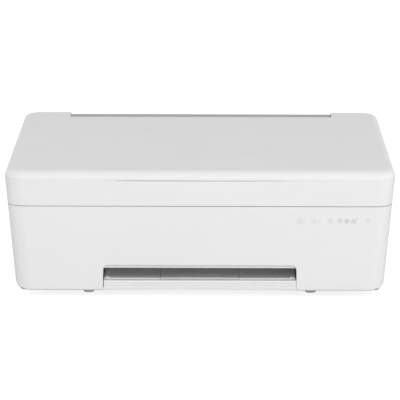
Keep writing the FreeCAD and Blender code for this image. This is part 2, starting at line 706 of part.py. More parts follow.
def turn_guide():
    half = PATH_HALF
    y0 = FEED_Y + 8.0
    outer = rod_x(TURN_R + TURN_T, -half, half, TURN_Y, TURN_Z)
    outer = outer.cut(rod_x(TURN_R, -FAR, FAR, TURN_Y, TURN_Z))
    outer = outer.cut(prism_x([(TURN_Y, TURN_Z), (TURN_Y - 60, TURN_Z + 66), (TURN_Y - 60, TURN_Z - 60),
                               (TURN_Y - 10, TURN_Z - 60)], -FAR, FAR))
    core = rod_x(11.0, -half, half, TURN_Y, TURN_Z).common(box(-half, half, TURN_Y - 10.5, FAR, 0, FAR))
    body = [outer, core, box(-half, half, y0, TURN_Y, PLATEN_Z - 2.1, PLATEN_Z + 0.5)]
    for side in (-1, 1):
        x0, x1 = sorted((side * half, side * (half + TURN_T)))
        cheek = rod_x(TURN_R + TURN_T, x0, x1, TURN_Y, TURN_Z)
        arm = box(x0, x1, y0, TURN_Y, PLATEN_Z - 2.1, PLATEN_Z + 2.5)
        foot = box(x0, x1, TURN_Y - 4, TURN_Y + 18, PAN_TOP, TURN_Z)
        body.append(fuse([cheek, arm, foot]))
    whole = fuse(body).cut(box(-FAR, FAR, 0, FAR, 0, PAN_TOP))
    return whole.cut(box(-half + 6, half - 6, FEED_Y, DRAWER_REAR_Y + 1.0, 0, BASE_TOP_Z + 7.5))


def chassis_beam():
    web = box(-BRACKET_X, BRACKET_X, BEAM_Y, BEAM_Y + SHEET_T, BEAM_FOOT_Z - 1.7, BEAM_Z)
    foot = box(-PATH_HALF, PATH_HALF, FEED_Y - 3, BEAM_Y + 0.6, BEAM_FOOT_Z, BEAM_FOOT_Z + SHEET_T)
    cap = box(-PULLEY_X + 23, BRACKET_X, BEAM_Y, BEAM_Y + 11.6, BEAM_Z - SHEET_T, BEAM_Z)
    body = [web, foot, cap]
    for side in (-1, 1):
        plate = side_box(side, BRACKET_X, BRACKET_X + SHEET_T, ROD_Y - 8, BEAM_Y + SHEET_T, PAN_TOP, BEAM_Z)
        plate = plate.common(moved_in(WALL + SKIN_GAP))
        body.append(plate.cut(rod_x(ROD_R, -FAR, FAR, ROD_Y, ROD_Z)))
    body.append(rod_y(1.5, BELT_Y - 4.0, BEAM_Y + 0.6, PULLEY_X, BELT_Z))
    return fuse(body).cut(rod_y(5.0, BEAM_Y - 5, BEAM_Y + 5, -PULLEY_X, BELT_Z))


def carriage_rod():
    end = BRACKET_X + SHEET_T
    return rod_x(ROD_R, -end, end, ROD_Y, ROD_Z)


def encoder_strip():
    y = CARR_REAR + 4.9
    return box(-BRACKET_X, BRACKET_X, y, y + 0.3, CARR_TOP - 11, CARR_TOP - 5)


def belt_loop(r, extra):
    y0 = BELT_Y - BELT_W / 2 - extra
    y1 = BELT_Y + BELT_W / 2 + extra
    return fuse([rod_y(r, y0, y1, -PULLEY_X, BELT_Z), rod_y(r, y0, y1, PULLEY_X, BELT_Z),
                 box(-PULLEY_X, PULLEY_X, y0, y1, BELT_Z - r, BELT_Z + r)])


def drive_belt():
    inside = PULLEY_R + BELT_FIT
    return belt_loop(inside + BELT_T, 0).cut(belt_loop(inside, 1))


def pulley(x, bore):
    y0 = BELT_Y - BELT_W / 2
    y1 = BELT_Y + BELT_W / 2
    count = 14
    drum = rod_y(PULLEY_R, y0, y1, x, BELT_Z)
    flutes = []
    for i in range(count):
        a = 2 * math.pi * i / count
        flutes.append(rod_y(0.4, y0 - 1, y1 + 1, x + PULLEY_R * math.cos(a), BELT_Z + PULLEY_R * math.sin(a)))
    return drum.cut(fuse(flutes)).cut(rod_y(bore, y0 - 1, y1 + 1, x, BELT_Z))


def motor_pulley():
    shaft = rod_y(MOTOR_SHAFT_R, BELT_Y - BELT_W / 2, BEAM_Y + 3.6, -PULLEY_X, BELT_Z)
    return pulley(-PULLEY_X, 1.0).fuse(shaft).removeSplitter()


def idler_pulley():
    return pulley(PULLEY_X, 1.5 + RUN)


def carriage_motor():
    y0 = BEAM_Y + SHEET_T
    can = rod_y(MOTOR_R, y0, BOARD_Y, -PULLEY_X, BELT_Z)
    neck = rod_y(4.5, y0 - 2.5, y0 + 0.5, -PULLEY_X, BELT_Z)
    tail = rod_y(5.0, BOARD_Y, BOARD_Y + 2.5, -PULLEY_X, BELT_Z)
    return fuse([can, neck, tail]).cut(rod_y(MOTOR_SHAFT_R + RUN, y0 - 9, y0 + 3, -PULLEY_X, BELT_Z))


def feed_motor():
    x1 = GEAR_X - 1.0
    can = rod_x(MOTOR_R, x1 - 30, x1, MOTOR_Y, ROLLER_Z)
    tail = rod_x(4.5, x1 - 32.5, x1 - 30, MOTOR_Y, ROLLER_Z)
    stand = box(x1 - 16, x1 - 6, MOTOR_Y - 6, MOTOR_Y + 6, PAN_TOP, ROLLER_Z - 7.8)
    return fuse([can, tail, stand]).cut(rod_x(MOTOR_SHAFT_R + RUN, x1 - 3, x1 + 5, MOTOR_Y, ROLLER_Z))


def motor_pinion():
    shaft = rod_x(MOTOR_SHAFT_R, GEAR_X - 3.0, GEAR_X + GEAR_W, MOTOR_Y, ROLLER_Z)
    return gear(PINION_TEETH, MOTOR_Y, 1.0, math.pi / PINION_TEETH).fuse(shaft).removeSplitter()


def feed_gear():
    return gear(FEED_TEETH, FEED_Y, SHAFT_R, 0.0)


def idler_gear():
    return gear(IDLER_TEETH, IDLER_Y, 2.0 + RUN, math.pi / IDLER_TEETH)


def output_gear():
    return gear(FEED_TEETH, OUT_Y, SHAFT_R, 0.0)


def along_path(margin, count):
    # evenly spaced places across the paper
    span = 2 * (PATH_HALF - margin)
    return [-span / 2 + span * i / (count - 1) for i in range(count)]


def cross_shaft(r, y, z):
    return rod_x(r, GEAR_X - 0.5, FRAME_IN + FRAME_T + 1.0, y, z)


def feed_roller():
    tyre = rod_x(FEED_R, -PATH_HALF, PATH_HALF, FEED_Y, ROLLER_Z)
    return fuse([cross_shaft(SHAFT_R, FEED_Y, ROLLER_Z), tyre])


def output_roller():
    parts = [cross_shaft(SHAFT_R, OUT_Y, ROLLER_Z)]
    for x in along_path(28.0, 6):
        parts.append(rod_x(OUT_R, x - 9.0, x + 9.0, OUT_Y, ROLLER_Z))
    return fuse(parts)


def pinch_rollers():
    end = FRAME_IN + FRAME_T - 0.5
    parts = [rod_x(PINCH_SHAFT_R, -end, end, PINCH_Y, PINCH_Z)]
    for x in along_path(38.0, 4):
        parts.append(rod_x(PINCH_R, x - 7.5, x + 7.5, PINCH_Y, PINCH_Z))
    return fuse(parts)


def star_wheels():
    end = FRAME_IN + FRAME_T - 0.5
    parts = [rod_x(STAR_SHAFT_R, -end, end, OUT_Y, STAR_Z)]
    count = 24
    for x in along_path(28.0, 6):
        points = []
        for i in range(count):
            r = STAR_R if i % 2 == 0 else STAR_R - 1.1
            a = 2 * math.pi * i / count
            points.append((OUT_Y + r * math.cos(a), STAR_Z + r * math.sin(a)))
        parts.append(prism_x(points, x - 0.5, x + 0.5))
    return fuse(parts)


def pick_arm():
    side_view = [(ARM_Y - 4, ARM_Z - 3), (ARM_Y + 4, ARM_Z - 4.2), (PICK_Y - 9, PICK_Z + 0.3),
                 (PICK_Y + 2, PICK_Z - 2.5), (PICK_Y + 2, PICK_Z + 2.5), (PICK_Y - 9, PICK_Z + 4.0),
                 (ARM_Y + 4, ARM_Z + 1.0), (ARM_Y + 2, ARM_Z + 4), (ARM_Y - 4, ARM_Z + 4)]
    eye = rod_x(PICK_SHAFT_R + 1.6, -ARM_HALF, ARM_HALF, PICK_Y, PICK_Z)
    arm = prism_x(side_view, -ARM_HALF, ARM_HALF).fuse(eye)
    fork = ARM_HALF - 2.5
    arm = arm.cut(box(-fork, fork, PICK_Y - PICK_R - 2.0, FAR, 0, FAR))
    arm = arm.cut(rod_x(PICK_SHAFT_R + RUN, -FAR, FAR, PICK_Y, PICK_Z))
    return arm.cut(rod_x(SHAFT_R + RUN, -FAR, FAR, ARM_Y, ARM_Z))


def pick_roller():
    tyre = rod_x(PICK_R, -ARM_HALF + 4, ARM_HALF - 4, PICK_Y, PICK_Z)
    return tyre.fuse(rod_x(PICK_SHAFT_R, -ARM_HALF - 1, ARM_HALF + 1, PICK_Y, PICK_Z)).removeSplitter()


def pick_shaft():
    return rod_x(SHAFT_R, -FRAME_IN, FRAME_IN, ARM_Y, ARM_Z)


def service_station():
    x0 = FRAME_IN + FRAME_T + 2.0
    x1 = CARR_X + 34.0
    rim = PLATEN_Z - 3.5
    tub = box(x0, x1, NOZZLE_Y - 22, NOZZLE_Y + 22, PAN_TOP, rim)
    tub = tub.cut(box(x0 + 2, x1 - 2, NOZZLE_Y - 20, NOZZLE_Y + 20, PAN_TOP + 2, FAR))
    parts = [tub, box(x0 + 4, x1 - 4, NOZZLE_Y - 16, NOZZLE_Y + 16, PAN_TOP + 1, rim - 3)]
    for x in (CARR_X - NOZZLE_OFF, CARR_X + NOZZLE_OFF):
        cap = box(x - 9, x + 9, NOZZLE_Y - 11, NOZZLE_Y + 11, rim - 4, NOZZLE_Z - 0.6)
        parts.append(cap.cut(box(x - 7, x + 7, NOZZLE_Y - 9, NOZZLE_Y + 9, rim + 2, FAR)))
    wiper = CARR_X - NOZZLE_OFF - 10
    parts.append(box(wiper, wiper + 1, NOZZLE_Y - 12, NOZZLE_Y + 12, rim - 4, NOZZLE_Z - 0.4))
    return fuse(parts)


# Carriage

def carriage():
    x0 = CARR_X - CARR_HALF
    x1 = CARR_X + CARR_HALF
    shell = box(x0, x1, CARR_FRONT, CARR_REAR, CARR_LOW, CARR_TOP)
    shell = shell.makeFillet(4.0, upright_edges(shell))
    for x in (CARR_X - TANK_OFF, CARR_X + TANK_OFF):
        shell = shell.cut(box(x - 16.5, x + 16.5, CARR_FRONT + 6, CARR_REAR - 8, CARR_LOW + 4, FAR))
        shell = shell.cut(box(x - 13.5, x + 13.5, CARR_FRONT - 5, CARR_FRONT + 10, CARR_TOP - 20, FAR))
    body = [shell, box(CARR_X - 22, CARR_X + 22, NOZZLE_Y - 12, NOZZLE_Y + 12, NOZZLE_Z, CARR_LOW + 1)]
    back = BELT_Y + 3.0
    body.append(box(x0 + 8, x1 - 8, CARR_REAR - 1, back, CARR_LOW + 1, ROD_Z + ROD_R + 2.2))
    sensor = box(CARR_X - 8, CARR_X + 8, CARR_REAR - 1, CARR_REAR + 8, CARR_TOP - 14, CARR_TOP - 2)
    strip_way = box(CARR_X - 20, CARR_X + 20, CARR_REAR + 3.6, CARR_REAR + 6.4, CARR_TOP - 12.4, FAR)
    body.append(sensor.cut(strip_way))
    clamp_z = BELT_Z - PULLEY_R - BELT_FIT - BELT_T - 0.3
    body.append(box(CARR_X - 10, CARR_X + 10, back - 2, back, CARR_LOW + 4, clamp_z))
    body.append(box(CARR_X - 10, CARR_X + 10, BELT_Y - 3, back, clamp_z - 2.8, clamp_z))
    whole = fuse(body)
    for x in (CARR_X - NOZZLE_OFF, CARR_X + NOZZLE_OFF):
        whole = whole.cut(box(x - 7, x + 7, NOZZLE_Y - 9, NOZZLE_Y + 9, 0, CARR_LOW + 10))
    return whole.cut(rod_x(ROD_R + RUN, -FAR, FAR, ROD_Y, ROD_Z)).removeSplitter()


def cartridge(side):
    x = CARR_X + side * TANK_OFF
    y0 = CARR_FRONT + 8.0
    y1 = CARR_REAR - 10.0
    z0 = CARR_LOW + 4.0
    crown = CARR_TOP + 0.6
    side_view = [(y0 + 4, z0), (y1, z0), (y1, CARR_TOP - 6), (y1 - 14, crown), (y0 + 10, crown),
                 (y0, CARR_TOP - 4), (y0, z0 + 12)]
    tank = prism_x(side_view, x - 15, x + 15)
    nozzle = CARR_X + side * NOZZLE_OFF
    snout = box(nozzle - 6.6, nozzle + 6.6, NOZZLE_Y - 8.6, NOZZLE_Y + 8.6, NOZZLE_Z + 0.1, z0 + 1)
    tab = box(x - 8, x + 8, y0 - 5, y0 + 1, CARR_TOP - 8, CARR_TOP - 5)
    return fuse([tank, snout, tab])


def black_cartridge():
    return cartridge(-1)


def colour_cartridge():
    return cartridge(1)


# Electrics

def main_board():
    board = box(BOARD_LEFT, BOARD_RIGHT, BOARD_Y, BOARD_Y + BOARD_T, PAN_TOP, BUTTON_Z + 6)
    parts = [board]
    chips = ((18, 26, 18, 18, 2.2), (42, 32, 12, 8, 3.0), (60, 30, 10, 14, 6.0), (20, 10, 30, 5, 5.0))
    for dx, dz, w, h, t in chips:
        x = BOARD_LEFT + dx
        z = PAN_TOP + dz
        parts.append(box(x - w / 2, x + w / 2, BOARD_Y + 0.5 - t, BOARD_Y + 0.5, z - h / 2, z + h / 2))
    for x in (POWER_X, WIFI_X):
        parts.append(box(x - 3, x + 3, BOARD_Y + 1, rear_y(BUTTON_Z) - 9.0, BUTTON_Z - 3, BUTTON_Z + 3))
    return fuse(parts)


def usb_socket():
    y0 = BOARD_Y + BOARD_T
    y1 = rear_y(USB_Z) - 0.8
    can = box(USB_X - USB_HALF_W, USB_X + USB_HALF_W, y0, y1, USB_Z - USB_HALF_H, USB_Z + USB_HALF_H)
    inside_w = USB_HALF_W - 1.0
    inside_h = USB_HALF_H - 1.0
    can = can.cut(box(USB_X - inside_w, USB_X + inside_w, y0 + 2.4, FAR, USB_Z - inside_h, USB_Z + inside_h))
    tongue = box(USB_X - 2.8, USB_X + 2.8, y0 + 2, y1 - 6.0, USB_Z - 0.6, USB_Z + 2.6)
    return can.fuse(tongue).removeSplitter()


def power_supply():
    return box(INLET_X - 30, INLET_X + 36, SUPPLY_REAR - 30, SUPPLY_REAR, PAN_TOP, SUPPLY_TOP)


def power_inlet():
    y1 = rear_y(INLET_Z) - 0.2
    body = box(INLET_X - INLET_HALF_W, INLET_X + INLET_HALF_W, SUPPLY_REAR, y1,
               INLET_Z - INLET_HALF_H, INLET_Z + INLET_HALF_H)
    y0 = y1 - WELL_DEEP
    half = INLET_HALF_W - WELL_R - 3.2
    well = [box(INLET_X - half, INLET_X + half, y0, y1 + 5, INLET_Z - 3.4, INLET_Z + WELL_R)]
    for side in (-1, 1):
        well.append(rod_y(WELL_R, y0, y1 + 5, INLET_X + side * half, INLET_Z))
    body = body.cut(fuse(well))
    for side in (-1, 1):
        body = body.fuse(rod_y(1.2, y0 - 1, y1 - 6.0, INLET_X + side * (half + 0.1), INLET_Z))
    return body.removeSplitter()


def control_board():
    space = box(HALF - 120, HALF - 26, -FAR, FRONT + 27, ICON_Z - 10, ICON_Z + 8)
    return space.common(moved_in(WALL)).cut(moved_in(WALL + BOARD_T))


def button(x):
    y1 = rear_y(BUTTON_Z) + 0.3
    cap = rod_y(BUTTON_R, y1 - 4.0, y1, x, BUTTON_Z)
    flange = rod_y(BUTTON_R + 1.5, y1 - 4.8, y1 - 3.4, x, BUTTON_Z)
    stem = rod_y(2.0, y1 - 8.0, y1 - 4.0, x, BUTTON_Z)
    return fuse([cap, flange, stem])


def power_button():
    return button(POWER_X)


def wireless_button():
    return button(WIFI_X)


# Drawer

def drawer_front():
    panel = OUTER.common(box(DRAWER_LEFT, DRAWER_RIGHT, -FAR, DRAWER_Y, DRAWER_BOTTOM_Z, DRAWER_TOP_Z))
    bow_r = (SLOT_HALF ** 2 + DRAWER_BOW ** 2) / (2 * DRAWER_BOW)
    panel = panel.cut(rod_y(bow_r, FRONT - 10, FRONT + 30, 0, DRAWER_BOTTOM_Z + DRAWER_BOW - bow_r))
    for rise in DRAWER_LINES:
        z = BASE_Z + rise
        panel = panel.cut(box(-FAR, FAR, front_y(z) - 3, front_y(z) + 0.35, z - 0.3, z + 0.3))
    brow = []
    for e in panel.Edges:
        ends = (e.Vertexes[0].Point, e.Vertexes[-1].Point)
        level = all(abs(p.z - DRAWER_TOP_Z) < 0.01 and p.y < front_y(DRAWER_TOP_Z) + 1 for p in ends)
        if level and abs(ends[0].x - ends[1].x) > SLOT_HALF:
            brow.append(e)
    panel = panel.makeFillet(1.2, brow)
    y_in = front_y(DRAWER_TOP_Z) + DRAWER_WALL
    return panel.cut(box(DRAWER_LEFT + 8.7, DRAWER_RIGHT - 9.2, y_in, FAR, BASE_TOP_Z, DRAWER_TOP_Z - 2.4))


def guide_channels():
    # the sunk ways of the two racks and their pinion
    half = BASE_HALF - RIM
    z0 = BASE_TOP_Z - CHANNEL_DEEP
    near = RACK_OFF - RACK_HALF - RACK_TIP - 0.45
    wide = RACK_OFF + RACK_HALF + 0.3
    ways = [rod_z(7.0, z0, FAR, 0, GUIDE_Y)]
    for side in (-1, 1):
        y0, y1 = sorted((GUIDE_Y + side * near, GUIDE_Y + side * wide))
        ways.append(box(-half, half, y0, y1, z0, FAR))
    return fuse(ways)


def drawer_base():
    parts = [box(-BASE_HALF, BASE_HALF, DRAWER_Y, DRAWER_REAR_Y, BASE_FLOOR_Z, BASE_TOP_Z),
             box(-BASE_HALF, BASE_HALF, DRAWER_Y, DRAWER_Y + 2.0, BASE_FLOOR_Z, COVER_LOW_Z)]
    for side in (-1, 1):
        parts.append(side_box(side, BASE_HALF - RIM, BASE_HALF, DRAWER_Y, DRAWER_REAR_Y, BASE_FLOOR_Z,
                              COVER_LOW_Z))
    rims = fuse(parts[1:])
    base = parts[0].cut(guide_channels()).fuse(rims)
    pin = rod_z(GUIDE_PIN_R, BASE_TOP_Z - CHANNEL_DEEP - 0.2, BASE_TOP_Z - 0.1, 0, GUIDE_Y)
    base = base.fuse(pin)
    for side in (-1, 1):
        base = base.cut(side_box(side, 52, 72, DRAWER_REAR_Y - 36, FAR, 0, FAR))
    return base.removeSplitter()


def drawer_cover():
    plate = box(-BASE_HALF, BASE_HALF, DRAWER_Y, COVER_REAR_Y, COVER_LOW_Z, COVER_TOP_Z)
    way = EXT_HALF + 0.5
    plate = plate.cut(box(-way, way, DRAWER_Y - 1, DRAWER_Y + EXT_LEN + 1, EXT_Z - 0.15, FAR))
    for side in (-1, 1):
        plate = plate.cut(side_box(side, EXT_HALF + 4, BASE_HALF - 4, DRAWER_Y + 3, COVER_REAR_Y - 3, 0,
                                   COVER_TOP_Z - 1.5))
        plate = plate.fuse(side_box(side, BASE_HALF - 6.5, BASE_HALF - 1.5, DRAWER_Y + 1, COVER_REAR_Y,
                                    COVER_TOP_Z - 0.5, COVER_TOP_Z + 0.9))
    return plate.removeSplitter()


def rack_teeth(y_edge, toward, x0, x1, z0, z1):
    # straight rack teeth on the edge of a bar, a gap at the middle of the pinion
    pitch = math.pi * MODULE
    teeth = []
    count = int((x1 - x0) / pitch) + 1
    for i in range(-count, count + 1):
        mid = (i + 0.5) * pitch
        if mid - 1.2 < x0 or mid + 1.2 > x1:
            continue
        foot_y = y_edge - toward * 0.3
        tip_y = y_edge + toward * RACK_TIP
        outline = [(mid - 0.95, foot_y), (mid + 0.95, foot_y), (mid + 0.4, tip_y), (mid - 0.4, tip_y)]
        teeth.append(prism_z(outline, z0, z1))
    return teeth


def paper_guide(side):
    # the left guide (side -1) has its rack in front of the pinion, the right one behind it
    y_rack = GUIDE_Y + side * RACK_OFF
    z0 = BASE_TOP_Z - CHANNEL_DEEP + 0.2
    z1 = BASE_TOP_Z - 0.2
    outer = BASE_HALF - RIM - 0.4
    x0, x1 = sorted((side * outer, -side * 7.0))
    bar = box(x0, x1, y_rack - RACK_HALF, y_rack + RACK_HALF, z0, z1)
    edge = y_rack - side * RACK_HALF
    parts = [bar] + rack_teeth(edge, -side, x0 + 1.0, x1, z0, z1)
    parts.append(side_box(side, GUIDE_IN, outer, GUIDE_Y - GUIDE_HALF, GUIDE_Y + GUIDE_HALF, BASE_TOP_Z + 0.2,
                          COVER_LOW_Z + 0.6))
    parts.append(side_box(side, GUIDE_IN, outer, y_rack - RACK_HALF, y_rack + RACK_HALF, z0, BASE_TOP_Z + 1.0))
    return fuse(parts)


def left_guide():
    return paper_guide(-1)


def right_guide():
    return paper_guide(1)


def guide_pinion():
    z0 = BASE_TOP_Z - CHANNEL_DEEP + 0.1
    points = gear_points(GUIDE_TEETH, 0, GUIDE_Y, math.pi / 2, 0.7, 0.95)
    return prism_z(points, z0, z0 + 1.3).cut(rod_z(GUIDE_PIN_R + RUN, 0, FAR, 0, GUIDE_Y))


def output_extender():
    y0 = DRAWER_Y + 0.3
    plate = box(-EXT_HALF, EXT_HALF, y0, y0 + EXT_LEN, EXT_Z, COVER_TOP_Z)
    plate = plate.cut(box(-STOP_HALF - 0.5, STOP_HALF + 0.5, y0 + 1.8, y0 + STOP_LEN + 3.2, 0, FAR))
    return plate.cut(rod_x(STOP_PIN_R + 0.04, -STOP_HALF - 3.2, STOP_HALF + 3.2, STOP_Y, STOP_Z))


def paper_stop():
    t = EXT_T / 2 - 0.05
    leaf = box(-STOP_HALF, STOP_HALF, STOP_Y, DRAWER_Y + STOP_LEN + 2.9, STOP_Z - t, STOP_Z + t)
    edge = rod_x(t, -STOP_HALF, STOP_HALF, STOP_Y, STOP_Z)
    pin = rod_x(STOP_PIN_R, -STOP_HALF - 3, STOP_HALF + 3, STOP_Y, STOP_Z)
    return fuse([leaf, edge, pin])


LID = (lid_cover, lid_liner, backing_pad, hinge_bar)
SCANNER = (scanner_case, hinge_housing, scanner_bezel, scanner_glass, scan_rod, scan_head, cover_stay)
LOWER_BODY = (lower_case, touch_icons, rear_panel, base_pan, rubber_feet, case_screws, inner_deck,
              output_liner)
CHASSIS = (side_frames, platen, turn_guide, chassis_beam, carriage_rod, encoder_strip, service_station,
           pick_shaft)
DRIVES = (drive_belt, motor_pulley, idler_pulley, carriage_motor, feed_motor, motor_pinion, feed_gear,
          idler_gear, output_gear, feed_roller, output_roller, pinch_rollers, star_wheels, pick_arm,
          pick_roller)
CARRIAGE = (carriage, black_cartridge, colour_cartridge)
ELECTRICS = (main_board, usb_socket, power_supply, power_inlet, control_board, power_button,
             wireless_button)
DRAWER = (drawer_front, drawer_base, drawer_cover, left_guide, right_guide, guide_pinion, output_extender,
          paper_stop)


def export_parts():
    os.makedirs("parts", exist_ok=True)
    for group in (LID, SCANNER, LOWER_BODY, CHASSIS, DRIVES, CARRIAGE, ELECTRICS, DRAWER):
        for piece in group:
            piece().exportStep("parts/" + piece.__name__ + ".step")


export_parts()
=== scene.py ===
import json
import math

import bmesh
import bpy
from mathutils import Matrix, Vector


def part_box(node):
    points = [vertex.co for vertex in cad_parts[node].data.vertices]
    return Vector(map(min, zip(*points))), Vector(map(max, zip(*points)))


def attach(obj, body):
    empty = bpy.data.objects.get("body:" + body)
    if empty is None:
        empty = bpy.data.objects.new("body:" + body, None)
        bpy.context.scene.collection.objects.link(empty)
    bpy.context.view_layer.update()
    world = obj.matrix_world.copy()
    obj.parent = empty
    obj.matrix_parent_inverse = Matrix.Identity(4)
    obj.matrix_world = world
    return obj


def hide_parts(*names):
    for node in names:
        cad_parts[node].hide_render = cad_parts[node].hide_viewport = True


# Inkjet multifunction printer: the finish of its parts, in metres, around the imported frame.

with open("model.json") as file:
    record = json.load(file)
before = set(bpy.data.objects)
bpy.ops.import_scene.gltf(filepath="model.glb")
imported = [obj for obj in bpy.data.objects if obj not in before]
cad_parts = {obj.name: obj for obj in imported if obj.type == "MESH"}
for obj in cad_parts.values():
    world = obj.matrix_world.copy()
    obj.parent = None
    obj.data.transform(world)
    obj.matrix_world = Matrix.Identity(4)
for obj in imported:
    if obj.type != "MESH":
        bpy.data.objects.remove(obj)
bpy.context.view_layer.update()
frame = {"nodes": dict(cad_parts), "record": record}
MM = 0.001
IMAGE_WIDTH = 400

# Camera: where the photograph was taken from
CAMERA_RISE = math.radians(13.02)
CAMERA_AWAY = 3.0465
CAMERA_YAW = math.radians(0.15)
CAMERA_ROLL = math.radians(0.12)
SENSOR = 36.0
FOCUS_PIXELS = 2555.0
AIM = Vector((0.0, 0.0, 0.0735))
CENTRE_U = 200.3
CENTRE_V = 199.92

# Light: a wide low soft box in front, a small one above the front edge, one at each side, and an even surround
SURROUND = 0.6
LAMPS = {
    "front_box": {"place": (0.7, -3.05, 0.6), "size": (4.2, 0.5), "watts": 35.5},
    "upper_box": {"place": (0.2, -1.3, 1.3), "size": (1.4, 0.9), "watts": 2.6},
    "left_box": {"place": (-2.4, -0.3, 0.3), "size": (1.2, 0.6), "watts": 6.0},
    "right_box": {"place": (2.4, -0.3, 0.3), "size": (1.2, 0.6), "watts": 6.0},
}
FLOOR_TONE = 0.72
FLOOR_GLOW = 0.8

# Edge rounds that a mould or a press leaves, in millimetres, and the angle from which an edge counts as sharp
MERGE = 0.01 * MM
FLAT = math.radians(0.4)
SHARP = math.radians(28.0)
CREASE = math.radians(32.0)
EDGE_ROUND = {
    "lid_cover": 0.35, "lid_liner": 0.4, "hinge_bar": 0.35, "scanner_case": 0.3, "hinge_housing": 0.35,
    "scanner_bezel": 0.5, "scanner_glass": 0.3, "scan_head": 0.3, "lower_case": 0.3, "rear_panel": 0.3,
    "base_pan": 0.2, "inner_deck": 0.3, "output_liner": 0.25, "turn_guide": 0.3, "platen": 0.15,
    "service_station": 0.3, "carriage": 0.4, "black_cartridge": 0.5, "colour_cartridge": 0.5,
    "rubber_feet": 0.6, "power_inlet": 0.25, "power_button": 0.35, "wireless_button": 0.35,
    "carriage_motor": 0.6, "feed_motor": 0.6, "power_supply": 0.5, "pick_arm": 0.3,
    "drawer_front": 0.3, "drawer_base": 0.15, "drawer_cover": 0.15, "left_guide": 0.15, "right_guide": 0.15,
    "output_extender": 0.15, "paper_stop": 0.12, "chassis_beam": 0.12, "side_frames": 0.12,
}

# The lid's finger grip: half its length, the height of its lip, and the undercut below that
GRIP_HALF = 108.0 * MM
GRIP_LIP_Z = 136.6 * MM
GRIP_DEEP = 1.7 * MM
GROOVE_HIGH = 0.8 * MM
GROOVE_TAPER = 6

SLOT_OF = {part["node"]: part["material_slot"] for part in frame["record"]["subparts"]}
BODY_OF = {}
for body_name, node_names in frame["record"]["behaviour"]["bodies"].items():
    for node_name in node_names:
        BODY_OF[node_name] = body_name


# Shader node helpers

def new_finish(name):
    """A material with an empty shader tree; returns the material, its tree and its surface shader."""
    finish = bpy.data.materials.new(name)
    finish.use_nodes = True
    tree = finish.node_tree
    shader = tree.nodes["Principled BSDF"]
    return finish, tree, shader


def object_place(tree, stretch=None):
    """Object coordinates in metres, stretched along an axis where a pattern runs along it."""
    place = tree.nodes.new("ShaderNodeTexCoord").outputs["Object"]
    if stretch is None:
        return place
    scaled = tree.nodes.new("ShaderNodeMapping")
    scaled.inputs["Scale"].default_value = stretch
    tree.links.new(place, scaled.inputs["Vector"])
    return scaled.outputs["Vector"]


def noise(tree, place, per_metre, detail=3.0, roughness=0.55):
    grain = tree.nodes.new("ShaderNodeTexNoise")
    grain.inputs["Scale"].default_value = per_metre
    grain.inputs["Detail"].default_value = detail
    grain.inputs["Roughness"].default_value = roughness
    tree.links.new(place, grain.inputs["Vector"])
    return grain.outputs["Fac"]


def cells(tree, place, per_metre, feature="F1"):
    pattern = tree.nodes.new("ShaderNodeTexVoronoi")
    pattern.feature = feature
    pattern.inputs["Scale"].default_value = per_metre
    tree.links.new(place, pattern.inputs["Vector"])
    return pattern.outputs["Distance"]


def bands(tree, place, per_metre, direction="X"):
    wave = tree.nodes.new("ShaderNodeTexWave")
    wave.bands_direction = direction
    wave.inputs["Scale"].default_value = per_metre
    tree.links.new(place, wave.inputs["Vector"])
    return wave.outputs["Fac"]


def spread(tree, value, low, high, from_low=0.3, from_high=0.7):
    """The value moved from its own range into low to high."""
    ranged = tree.nodes.new("ShaderNodeMapRange")
    ranged.inputs["From Min"].default_value = from_low
    ranged.inputs["From Max"].default_value = from_high
    ranged.inputs["To Min"].default_value = low
    ranged.inputs["To Max"].default_value = high
    tree.links.new(value, ranged.inputs["Value"])
    return ranged.outputs["Result"]


def blended(tree, share, first, second):
    """One colour turning into another as the share goes from 0 to 1."""
    mix = tree.nodes.new("ShaderNodeMix")
    mix.data_type = "RGBA"
    mix.inputs["A"].default_value = (*first, 1.0)
    mix.inputs["B"].default_value = (*second, 1.0)
    tree.links.new(share, mix.inputs["Factor"])
    return mix.outputs["Result"]


def combined(tree, first, second, operation="ADD"):
    maths = tree.nodes.new("ShaderNodeMath")
    maths.operation = operation
    tree.links.new(first, maths.inputs[0])
    tree.links.new(second, maths.inputs[1])
    return maths.outputs[0]


def bump(tree, shader, height, strength, distance):
    relief = tree.nodes.new("ShaderNodeBump")
    relief.inputs["Strength"].default_value = strength
    relief.inputs["Distance"].default_value = distance
    tree.links.new(height, relief.inputs["Height"])
    tree.links.new(relief.outputs["Normal"], shader.inputs["Normal"])


# Finishes

def moulded(name, colour, shift=0.03, gloss=0.5, grain_mm=0.4, grain_depth=0.02):
    """Moulded plastic: a spark-eroded grain, a slow drift of tone and a gloss that varies with handling."""
    finish, tree, shader = new_finish(name)
    place = object_place(tree)
    drift = noise(tree, place, 9.0, 2.0)
    handled = noise(tree, place, 28.0, 3.0)
    fine = noise(tree, place, 1.0 / (grain_mm * MM), 3.0)
    pits = cells(tree, place, 0.8 / (grain_mm * MM))
    darker = tuple(c * (1.0 - shift) for c in colour)
    tree.links.new(blended(tree, spread(tree, drift, 0.0, 1.0), darker, colour), shader.inputs["Base Color"])
    worn = spread(tree, handled, gloss - 0.05, gloss + 0.05)
    tree.links.new(combined(tree, worn, spread(tree, fine, -0.03, 0.03)), shader.inputs["Roughness"])
    shader.inputs["IOR"].default_value = 1.5
    bump(tree, shader, combined(tree, fine, pits), 0.35, grain_depth * MM)
    return finish


